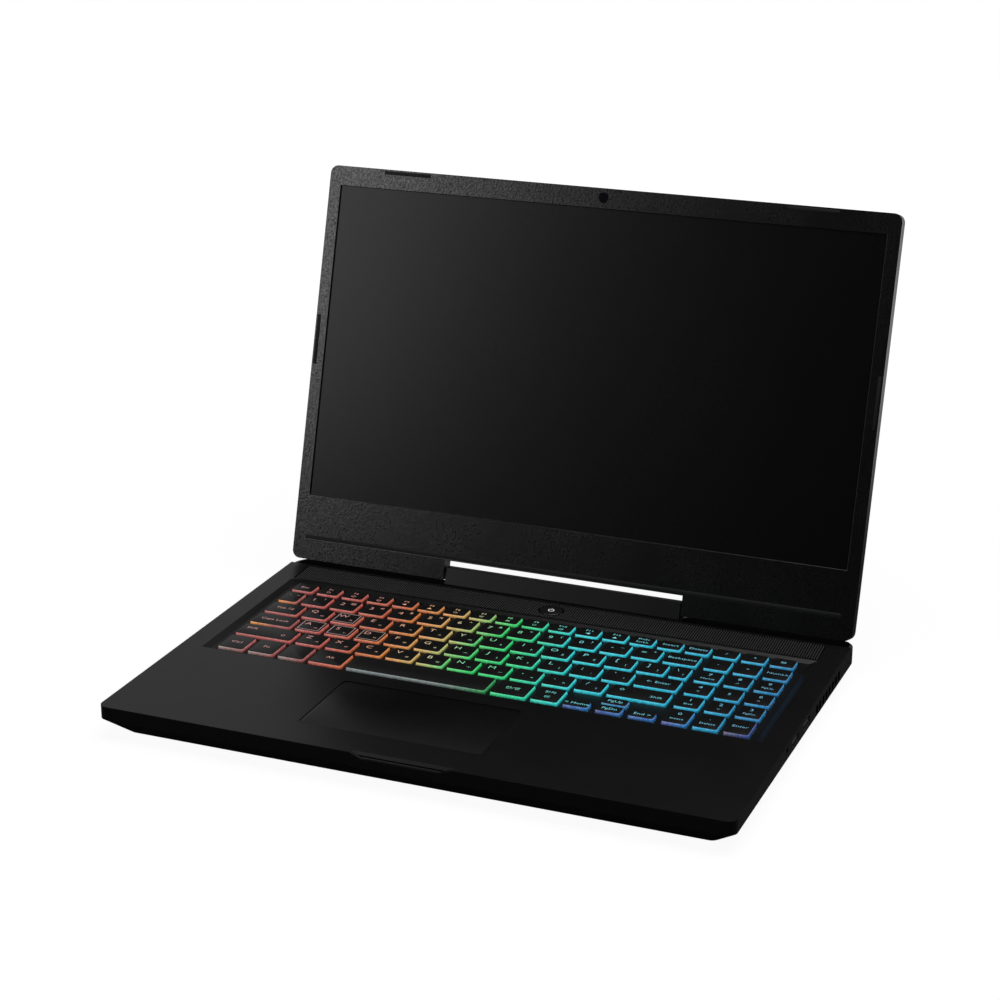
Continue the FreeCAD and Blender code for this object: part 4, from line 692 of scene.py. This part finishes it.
def cap_pattern(width, depth, height, finishes):
    """One cap about the middle of its foot: drawn in towards the top, with round corners and a soft rim."""
    long_cap = 1.5
    cuts = (-0.3, -0.1, 0.1, 0.3)
    cap = block("cap_pattern", (-width / 2, -depth / 2, 0), (width / 2, depth / 2, height))
    shape(cap)
    pick("FACE", faces_up)
    narrowing = ((width - 2 * CAP_TAPER) / width, (depth - 2 * CAP_TAPER) / depth, 1)
    bpy.ops.transform.resize(value=narrowing, center_override=(0, 0, height))
    pick("EDGE", stands_upright)
    bpy.ops.mesh.bevel(offset=CAP_CORNER, segments=4, affect="EDGES")
    pick("FACE", faces_up)
    bpy.ops.mesh.region_to_loop()
    bpy.ops.mesh.bevel(offset=CAP_RIM, segments=2, affect="EDGES")
    # A long cap gets more points, so that the colour of its skirt can change along it
    if width > long_cap * depth:
        for share in cuts:
            bpy.ops.mesh.select_all(action="SELECT")
            bpy.ops.mesh.bisect(plane_co=(share * width, 0, 0), plane_no=(1, 0, 0))
    done()
    for finish in finishes:
        cap.data.materials.append(finish)
    for face in cap.data.polygons:
        on_side = abs(face.normal.z) < 0.5
        face.material_index = int(on_side and face.center.z < height - SKIRT_TOP / 2)
    return smooth(cap)


def glow_at(spot):
    """The display colour of the light under the keys at a place."""
    forward = (KEYS_REAR - spot.y) / (KEYS_REAR - KEYS_FRONT)
    places = [MM * (at_rear + (at_front - at_rear) * forward) for at_rear, at_front, tint in GLOW]
    tints = [Vector(tint) for at_rear, at_front, tint in GLOW]
    if spot.x <= places[0]:
        return tints[0]
    for number, right in enumerate(places[1:]):
        if spot.x <= right:
            left = places[number]
            return tints[number].lerp(tints[number + 1], (spot.x - left) / (right - left))
    return tints[-1]


def carry_glow(piece, tint_at):
    """Gives each point of a piece the colour of the light that reaches it."""
    layer = piece.data.color_attributes.new("glow", "FLOAT_COLOR", "POINT")
    for point, vertex in zip(layer.data, piece.data.vertices):
        point.color = colour(*tint_at(vertex.co))


def key_caps(node, finishes):
    """The caps of one row, in the places of its solids."""
    boxes = cap_boxes(node)
    patterns = {}
    caps = []
    for low, high in boxes:
        size = tuple(round(side, 5) for side in high - low)
        if size not in patterns:
            patterns[size] = cap_pattern(*size, finishes)
        cap = copy_of(patterns[size], node + "_cap")
        cap.location = ((low.x + high.x) / 2, (low.y + high.y) / 2, low.z)
        caps.append(cap)
    for pattern in patterns.values():
        drop(pattern)
    piece = joined(node + "_caps", caps)
    slack = 0.2 * MM

    def skirt_tint(spot):
        for number, (low, high) in enumerate(boxes):
            inside = low.x - slack < spot.x < high.x + slack and low.y - slack < spot.y < high.y + slack
            if inside and (node, number) in OWN_SKIRT:
                first, second, turns_from, turns_to = OWN_SKIRT[node, number]
                share = (spot.x - low.x) / (high.x - low.x)
                turned = min(max((share - turns_from) / (turns_to - turns_from), 0), 1)
                return Vector(first).lerp(Vector(second), turned)
        return glow_at(spot)

    carry_glow(piece, skirt_tint)
    fit(piece, node, "key_plastic")
    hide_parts(node)
    return boxes


def word(text, centre, size):
    """One word as thin solid letters that are half sunk in a cap's top."""
    bpy.ops.object.select_all(action="DESELECT")
    bpy.ops.object.text_add()
    piece = bpy.context.object
    piece.data.body = text.replace("_", " ") if len(text) > 1 else text
    piece.data.size = size
    piece.data.align_x = "CENTER"
    piece.data.align_y = "CENTER"
    piece.data.extrude = LEGEND_DEPTH
    piece.data.offset = -STROKE_THINNING * size
    piece.data.resolution_u = 2
    bpy.ops.object.convert(target="MESH")
    piece = bpy.context.object
    piece.scale = (LETTER_WIDTH, 1, 1)
    piece.location = centre
    bpy.ops.object.transform_apply(location=True, rotation=True, scale=True)
    return piece


def words_on_cap(kind, main, second, box):
    """The words of one cap, placed by the kind of its row, in shares of half its width and depth."""
    low, high = box
    middle = Vector(((low.x + high.x) / 2, (low.y + high.y) / 2, high.z))
    half = (high - low) / 2
    small = 2.8 * MM
    large = 5.2 * MM
    tall_half = 7 * MM
    words = []

    def put(text, across, along, size):
        if text not in ("none", ""):
            words.append(word(text, middle + Vector((across * half.x, along * half.y, 0)), size))

    if kind == "letter":
        put(main, -0.36, 0.28, large)
        put(second, 0.44, -0.34, small)
    elif kind == "shifted":
        put(main, -0.30, 0.10, large)
        put(second, 0.44, 0.40, small * 1.2)
    elif kind == "spread":
        put(main, -0.62, 0.25, small * 1.2)
        put(second, 0.58, -0.2, small * 1.2)
    elif kind == "stack" and second != "none":
        tall = half.y > tall_half
        put(main, 0.0, 0.34, large * 0.8 if tall and len(main) == 1 else small)
        put(second, 0.0, -0.36, small)
    elif kind == "single" and second != "none":
        put(main, 0.0, 0.3, small * 1.1)
        put(second, 0.0, -0.35, small * 1.2)
    else:
        put(main, 0.0, 0.0, small * 1.25)
    return words


def key_legends(node, boxes, print_finish):
    """The lit words of one row's caps."""
    tint_share = 0.6
    white_part = Vector((0.4, 0.4, 0.4))
    kind, mains, seconds = LEGENDS[node]
    words = []
    for main, second, box in zip(mains.split(), seconds.split(), boxes):
        none_sign = "-" if node != "number_row_keys" else ""
        second = "none" if second == none_sign else second
        main = "none" if node == "modifier_keys" and main == "-" else main
        words += words_on_cap(kind, main, second, box)
    piece = joined(node + "_legends", words)
    carry_glow(piece, lambda spot: glow_at(spot) * tint_share + white_part)
    fit(piece, node, "key_plastic", print_finish)


def key_frames(node, boxes, print_finish):
    """Thin pale frames printed on the four keys that steer."""
    margin = 1.5 * MM
    line = 0.32 * MM
    tint_share = 0.3
    white_part = Vector((0.52, 0.52, 0.52))
    frames = []
    for number in FRAMED_KEYS[node]:
        low, high = boxes[number]
        bottom = high.z - LEGEND_DEPTH
        frames.append(ring("key_frame", (low.x + margin, low.y + margin, bottom),
                           (high.x - margin, high.y - margin, bottom), line, 2 * LEGEND_DEPTH))
    piece = joined(node + "_frames", frames)
    carry_glow(piece, lambda spot: glow_at(spot) * tint_share + white_part)
    fit(piece, node, "key_plastic", print_finish)


def make_keyboard(finishes):
    """All caps with their words and frames."""
    cap_finishes = [finishes["key_plastic"], key_skirt()]
    print_finish = lit_print("lit_key_print", strength=0.9)
    for node in KEY_NODES:
        boxes = key_caps(node, cap_finishes)
        if node in LEGENDS:
            key_legends(node, boxes, print_finish)
        if node in FRAMED_KEYS:
            key_frames(node, boxes, print_finish)


# The strip behind the keyboard and the power button


def button_middle():
    """The middle of the power button and its radius."""
    low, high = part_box("power_button")
    return (low + high) / 2, (high.x - low.x) / 2


def cut_round_button(piece, gap):
    """Cuts the button's hole, wider than the button by a gap, through a piece."""
    reach = 3 * MM
    corners = 48
    middle, radius = button_middle()
    cutter = disc("button_cutter", (middle.x, middle.y, DECK - reach), radius + gap, corners)
    shape(cutter)
    extrude_up(2 * reach)
    done()
    return cut_from(piece, cutter)


def hatched_strip(finishes):
    """The strip behind the keyboard: a thin plate with fine slanted ribs, level with the deck."""
    groove = 0.6 * MM
    rim = 0.5 * MM
    plate_gap = 0.15 * MM
    rib_gap = 1.1 * MM
    rib_sink = 0.05 * MM
    rib_edge = 0.12 * MM
    end_gap = 0.4 * MM
    rib_crease = 20
    low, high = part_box("rear_grille")
    depth = high.y - low.y
    half_area = 0.5 * (high.x - low.x) * depth

    plate = block("hatched_plate", low, (high.x, high.y, high.z - groove))
    shape(plate)
    pick("FACE", faces_up)
    bpy.ops.mesh.inset(thickness=rim, depth=0)
    pick("FACE", lambda face: faces_up(face) and face.calc_area() < half_area)
    bpy.ops.mesh.extrude_region_move(TRANSFORM_OT_translate={"value": (0, 0, groove)})
    done()
    cut_round_button(plate, plate_gap)
    for finish in ("black_coat_and_painted_shade", "case_plastic"):
        plate.data.materials.append(finishes[finish])
    for face in plate.data.polygons:
        face.material_index = int(face.center.z > high.z - groove / 2)

    lean = RIB_SLANT * depth
    length = high.x - low.x - abs(lean) - 2 * end_gap
    count = round(length / RIB_PITCH)
    pitch = length / count
    first = low.x - min(lean, 0) + end_gap + (pitch - RIB_WIDTH) / 2
    rib = block("hatch_rib", (first, low.y, high.z - groove - rib_sink), (first + RIB_WIDTH, high.y, high.z))
    shape(rib)
    pick("VERT", lambda vertex: vertex.co.y > (low.y + high.y) / 2)
    bpy.ops.transform.translate(value=(lean, 0, 0))
    pick("EDGE", lambda edge: all(v.co.z > high.z - HAIR for v in edge.verts)
         and abs(edge.verts[0].co.y - edge.verts[1].co.y) > depth / 2)
    bpy.ops.mesh.bevel(offset=rib_edge, segments=1, affect="EDGES")
    done()
    modified(rib, "ARRAY", count=count, use_relative_offset=False, use_constant_offset=True,
             constant_offset_displace=(pitch, 0, 0))
    cut_round_button(rib, rib_gap)
    rib.data.materials.append(finishes["grille_plastic"])
    strip = joined("rear_hatched_strip", [plate, rib])
    fit(smooth(strip, rib_crease), "base", "grille_plastic")
    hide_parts("rear_grille")


def power_sign():
    """The lit sign on the power button: an open ring and a bar."""
    ring_radius = 1.9 * MM
    corners = 32
    line = 0.45 * MM
    half_opening = 0.75 * MM
    bar_from = 0.5 * MM
    bar_to = 2.4 * MM
    bar_corner = 0.15 * MM
    white = (0.92, 0.92, 0.92)
    middle = button_middle()[0]
    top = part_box("power_button")[1].z
    bottom = top - LEGEND_DEPTH
    rim = disc("power_ring", (middle.x, middle.y, bottom), ring_radius, corners)
    shape(rim)
    hollow_out(line)
    pick("FACE", lambda face: face.calc_center_median().y > middle.y
         and abs(face.calc_center_median().x - middle.x) < half_opening)
    bpy.ops.mesh.delete(type="FACE")
    extrude_up(2 * LEGEND_DEPTH)
    done()
    bar = block("power_bar", (middle.x - line / 2, middle.y + bar_from, bottom),
                (middle.x + line / 2, middle.y + bar_to, top + LEGEND_DEPTH))
    rounded_upright(bar, bar_corner, segments=2)
    sign = joined("power_sign", [rim, bar])
    carry_glow(sign, lambda spot: white)
    fit(sign, "power_button", "button_plastic", lit_print("lit_power_sign", strength=1.0))


# Trim of the lid and of the touchpad


def screen_gasket():
    """The thin lip that lines the screen's opening."""
    line = 0.4 * MM
    soft_edge = 0.3 * MM
    half = SCREEN_WIDTH / 2
    lip = ring("screen_gasket", (-half, SCREEN_RISE, PANEL_FACE),
               (half, SCREEN_RISE + SCREEN_HEIGHT, PANEL_FACE), line, BEZEL_FACE - PANEL_FACE)
    shape(lip)
    pick("EDGE", lambda edge: all(
        v.co.z > BEZEL_FACE - HAIR and abs(v.co.x) < half - soft_edge for v in edge.verts))
    bpy.ops.mesh.bevel(offset=soft_edge, segments=2, affect="EDGES")
    done()
    onto_lid(lip)
    finish = moulded("gasket_plastic", (0.03, 0.03, 0.03), (0.08, 0.08, 0.08), 0.3, 0.4 * MM, 0.05)
    fit(lip, "lid", "bezel_plastic", finish)


def touchpad_trim(finishes):
    """The cut edge of the deck round the touchpad."""
    gap = 0.36 * MM
    line = 0.4 * MM
    sink = 0.02 * MM
    thickness = 0.05 * MM
    low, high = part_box("touchpad")
    spread = Vector((gap + line, gap + line, 0))
    level = Vector((0, 0, DECK - sink))
    edge = ring("touchpad_opening_edge", Vector((low.x, low.y, 0)) - spread + level,
                Vector((high.x, high.y, 0)) + spread + level, line, thickness)
    fit(edge, "base", "case_plastic", finishes["case_plastic"])


# Edges, fasteners and small holes


def softened(node, name, width, slot, crease=CREASE_DEGREES):
    """A copy of a plain node with its sharp edges rounded, which stands for it."""
    same_spot = 0.001 * MM
    flat_degrees = 1
    sharp_degrees = 30
    source = frame["nodes"][node]
    piece = bpy.data.objects.new(name, source.data.copy())
    bpy.context.scene.collection.objects.link(piece)
    shape(piece)
    bpy.ops.mesh.select_all(action="SELECT")
    bpy.ops.mesh.remove_doubles(threshold=same_spot)
    bpy.ops.mesh.dissolve_limited(angle_limit=math.radians(flat_degrees))
    done()
    modified(piece, "BEVEL", width=width, segments=3, limit_method="ANGLE",
             angle_limit=math.radians(sharp_degrees))
    fit(smooth(piece, crease), source["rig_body"], slot)
    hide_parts(node)


def screw_heads(finishes):
    """The screws of the bottom case, with a cross in each head."""
    corners = 24
    soft_edge = 0.35 * MM
    arm = 1.5 * MM
    half_slot = 0.33 * MM
    slot_depth = 0.55 * MM
    slot_below = 1 * MM
    places = cap_boxes("bottom_screws")
    low, high = places[0]
    middle = (low + high) / 2
    head = disc("screw_pattern", (middle.x, middle.y, low.z), (high.x - low.x) / 2, corners)
    shape(head)
    extrude_up(high.z - low.z)
    pick("FACE", faces_down)
    bpy.ops.mesh.region_to_loop()
    bpy.ops.mesh.bevel(offset=soft_edge, segments=2, affect="EDGES")
    done()
    for along, across in ((arm, half_slot), (half_slot, arm)):
        cross = block("screw_cross", (middle.x - along, middle.y - across, low.z - slot_below),
                      (middle.x + along, middle.y + across, low.z + slot_depth))
        cut_from(head, cross)
    smooth(head)
    heads = [head]
    for box in places[1:]:
        other = copy_of(head, "screw_head")
        other.location = (box[0] + box[1]) / 2 - middle
        heads.append(other)
    piece = joined("bottom_screw_heads", heads)
    fit(piece, "base", "steel", finishes["steel"])
    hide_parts("bottom_screws")


def trough_painted_shade(finishes):
    """Painted shade in the trough that the lid's legs turn in, on both sides of the hinge cover: a thin matt
    black sheet on the trough's floor.
    """
    margin = 0.4 * MM
    side_margin = 2.5 * MM
    behind_strip = 2 * MM
    corner = 4 * MM
    thickness = 0.15 * MM
    cover_low, cover_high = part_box("hinge_cover")
    case_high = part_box("top_case")[1]
    bottom = cover_low.z
    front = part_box("rear_grille")[1].y + behind_strip
    strips = []
    for side in (-1, 1):
        ends = sorted((side * (cover_high.x + margin), side * (case_high.x - side_margin)))
        strip = block("trough_shade_strip", (ends[0], front + margin, bottom),
                      (ends[1], case_high.y - margin, bottom + thickness))
        strips.append(rounded_upright(strip, corner, segments=3))
    # The matt black sheet is painted shade on the trough's floor
    fit(joined("trough_painted_shade_sheet", strips), "base", "rubber", finishes["black_coat_and_painted_shade"])


def lid_box(node):
    """Lowest and highest corners of a node of the lid, measured across, up and out of the lid."""
    turn = Matrix.Rotation(-LID_TURN, 3, "X")
    spots = [turn @ (vertex.co - LID_AXIS) for vertex in frame["nodes"][node].data.vertices]
    low = Vector([min(spot[axis] for spot in spots) for axis in range(3)])
    high = Vector([max(spot[axis] for spot in spots) for axis in range(3)])
    return low, high


def strip_lip():
    """The fine raised lip under the lid's rubber strip: its shape catches the light, and its colour, lighter
    than the bezel, is a painted highlight.
    """
    gap = 0.1 * MM
    line = 0.4 * MM
    height = 0.2 * MM
    soft_edge = 0.12 * MM
    low, high = lid_box("lid_rubber_strip")
    lip = block("strip_lip", (low.x, low.y - gap - line, BEZEL_FACE - gap),
                (high.x, low.y - gap, BEZEL_FACE + height))
    modified(lip, "BEVEL", width=soft_edge, segments=2)
    onto_lid(smooth(lip))
    # The lip's grey, lighter than the bezel, is a painted highlight along the strip's lower edge
    finish = moulded("lip_painted_highlight_plastic", (0.07, 0.07, 0.07), (0.11, 0.11, 0.11), 0.3, 0.5 * MM, 0.1)
    fit(lip, "lid", "bezel_plastic", finish)


def camera_row_holes():
    """Small sound holes and a lamp window in the bezel, beside the camera."""
    above_screen = 3.9 * MM
    places = (-31 * MM, 13 * MM, 31 * MM)
    radius = 0.55 * MM
    corners = 12
    sink = 0.05 * MM
    thickness = 0.08 * MM
    rim = 0.15 * MM
    hollow = 0.06 * MM
    holes = []
    for across in places:
        centre = (across, SCREEN_RISE + SCREEN_HEIGHT + above_screen, BEZEL_FACE - sink)
        hole = disc("bezel_hole", centre, radius, corners)
        shape(hole)
        bpy.ops.mesh.select_all(action="SELECT")
        bpy.ops.mesh.extrude_region_move(TRANSFORM_OT_translate={"value": (0, 0, thickness)})
        pick("FACE", faces_up)
        bpy.ops.mesh.inset(thickness=rim, depth=-hollow)
        bpy.ops.mesh.select_all(action="SELECT")
        bpy.ops.mesh.normals_make_consistent(inside=False)
        done()
        holes.append(hole)
    piece = onto_lid(joined("camera_row_holes", holes))
    dark = moulded("hole_plastic", (0.01, 0.01, 0.01), (0.03, 0.03, 0.03), 0.4, 0.3 * MM, 0.05)
    fit(piece, "lid", "bezel_plastic", dark)


# The studio


def studio_air():
    """The room: white where it is seen, dim as light on the object, and mirrored pale only behind it."""
    front = (-0.1, -0.97, 0.2)
    pale_from = 0.3
    pale_to = -0.5
    mirrored_paleness = 0.42
    dim_strength = 0.015
    white = (1, 1, 1, 1)
    world = bpy.data.worlds.new("studio_air")
    bpy.context.scene.world = world
    world.use_nodes = True
    tree = Signal(world.node_tree)
    way = tree.node("ShaderNodeTexCoord", output="Generated")
    to_front = measure(tree, "DOT_PRODUCT", way, front)
    pale_side = eased(tree, to_front, pale_from, pale_to, 0.0, mirrored_paleness)
    seen = tree.math("MAXIMUM", ray(tree, "Camera"), ray(tree, "Transmission"))
    seen = tree.math("MAXIMUM", seen, ray(tree, "Glossy") * pale_side)
    light = tree.node("ShaderNodeBackground", {}, {"Color": white, "Strength": dim_strength})
    backdrop = tree.node("ShaderNodeBackground", {}, {"Color": white, "Strength": 1.0})
    mixed = tree.node("ShaderNodeMixShader", {}, {0: seen, 1: light, 2: backdrop})
    world.node_tree.links.new(mixed.socket, world.node_tree.nodes["World Output"].inputs["Surface"])


def pale_floor():
    """A plain floor: white with a faint shadow where it is seen, and mirrored pale only at the rear left."""
    reach = 4
    cloud_size = 0.4
    rear_left = (-0.7, 0.7, 0)
    mirrored_paleness = 0.9
    pale_from = 0.02
    pale_to = 0.3
    near = 0.3
    far = 1.0
    white_near = (0.94, 0.94, 0.94, 1)
    white_far = (1, 1, 1, 1)
    floor = sheet("floor", (-reach, -reach, 0), (reach, reach, 0))
    shape(floor)
    bpy.ops.mesh.select_all(action="SELECT")
    bpy.ops.mesh.subdivide(number_cuts=3)
    done()
    material, tree = new_finish("pale_floor")
    to_rear_left = measure(tree, "DOT_PRODUCT", position(tree), rear_left)
    pale_side = eased(tree, to_rear_left, pale_from, pale_to, 0.0, mirrored_paleness)
    seen = tree.math("MAXIMUM", ray(tree, "Camera"), ray(tree, "Transmission"))
    seen = tree.math("MAXIMUM", seen, ray(tree, "Glossy") * pale_side)
    clouds = noise(tree, cloud_size)
    paint = blended(tree, clouds, (0.065, 0.065, 0.065, 1), (0.07, 0.07, 0.07, 1))
    lit = tree.node("ShaderNodeBsdfDiffuse", {}, {"Color": paint})
    away = eased(tree, measure(tree, "LENGTH", position(tree)), near, far, 0.0, 1.0)
    whiteness = blended(tree, away, white_near, white_far)
    white = tree.node("ShaderNodeEmission", {}, {"Color": whiteness, "Strength": 1.0})
    bright = tree.node("ShaderNodeAddShader", {}, {0: lit, 1: white})
    mixed = tree.node("ShaderNodeMixShader", {}, {0: seen, 1: lit, 2: bright})
    nodes = material.node_tree.nodes
    material.node_tree.links.new(mixed.socket, nodes["Material Output"].inputs["Surface"])
    floor.data.materials.append(material)


def soft_lamp(name, place, aim, size, power):
    """A square soft box that looks at a point."""
    bpy.ops.object.light_add(type="AREA", location=place)
    lamp = bpy.context.object
    lamp.name = name
    lamp.data.size = size
    lamp.data.energy = power
    lamp.rotation_euler = (Vector(aim) - Vector(place)).to_track_quat("-Z", "Y").to_euler()
    lamp.visible_camera = False


def place_camera():
    """The camera at the photograph's viewpoint."""
    spot = (0.450682, -1.140136, 0.550738)
    azimuth = math.radians(21.883)
    elevation = math.radians(19.7097)
    roll = math.radians(0.1829)
    back = Vector((math.sin(azimuth) * math.cos(elevation), -math.cos(azimuth) * math.cos(elevation),
                   math.sin(elevation)))
    level = Vector((math.cos(azimuth), math.sin(azimuth), 0))
    rise = back.cross(level)
    right = level * math.cos(roll) + rise * math.sin(roll)
    up = rise * math.cos(roll) - level * math.sin(roll)
    bpy.ops.object.camera_add()
    camera = bpy.context.object
    camera.data.sensor_width = 36
    camera.data.lens = 83.512
    turn = Matrix((right, up, back)).transposed().to_4x4()
    camera.matrix_world = Matrix.Translation(spot) @ turn
    bpy.context.scene.camera = camera


def make_studio():
    """The room, the floor, two soft lamps and the camera."""
    studio_air()
    pale_floor()
    soft_lamp("top_softbox", place=(0.45, -0.12, 1.9), aim=(0, 0, 0), size=1.6, power=40)
    soft_lamp("left_softbox", place=(-1.5, -1.62, 1.0), aim=(0, 0.05, 0.12), size=1.1, power=17)
    place_camera()
    bpy.context.scene.view_settings.view_transform = "Standard"


finishes = all_finishes()
dress_nodes(finishes)
make_keyboard(finishes)
hatched_strip(finishes)
power_sign()
screen_gasket()
touchpad_trim(finishes)
softened("lid_bumpers", "soft_lid_bumpers", width=0.35 * MM, slot="rubber")
softened("lid_rubber_strip", "soft_lid_strip", width=0.4 * MM, slot="rubber")
softened("rubber_feet", "soft_rubber_feet", width=0.5 * MM, slot="rubber")
softened("touchpad", "touchpad_plate", width=0.15 * MM, slot="touchpad_surface")
softened("hinge_cover", "soft_hinge_cover", width=0.9 * MM, slot="case_plastic", crease=12)
softened("power_button", "power_button_cap", width=0.3 * MM, slot="button_plastic")
screw_heads(finishes)
trough_painted_shade(finishes)
strip_lip()
camera_row_holes()
make_studio()
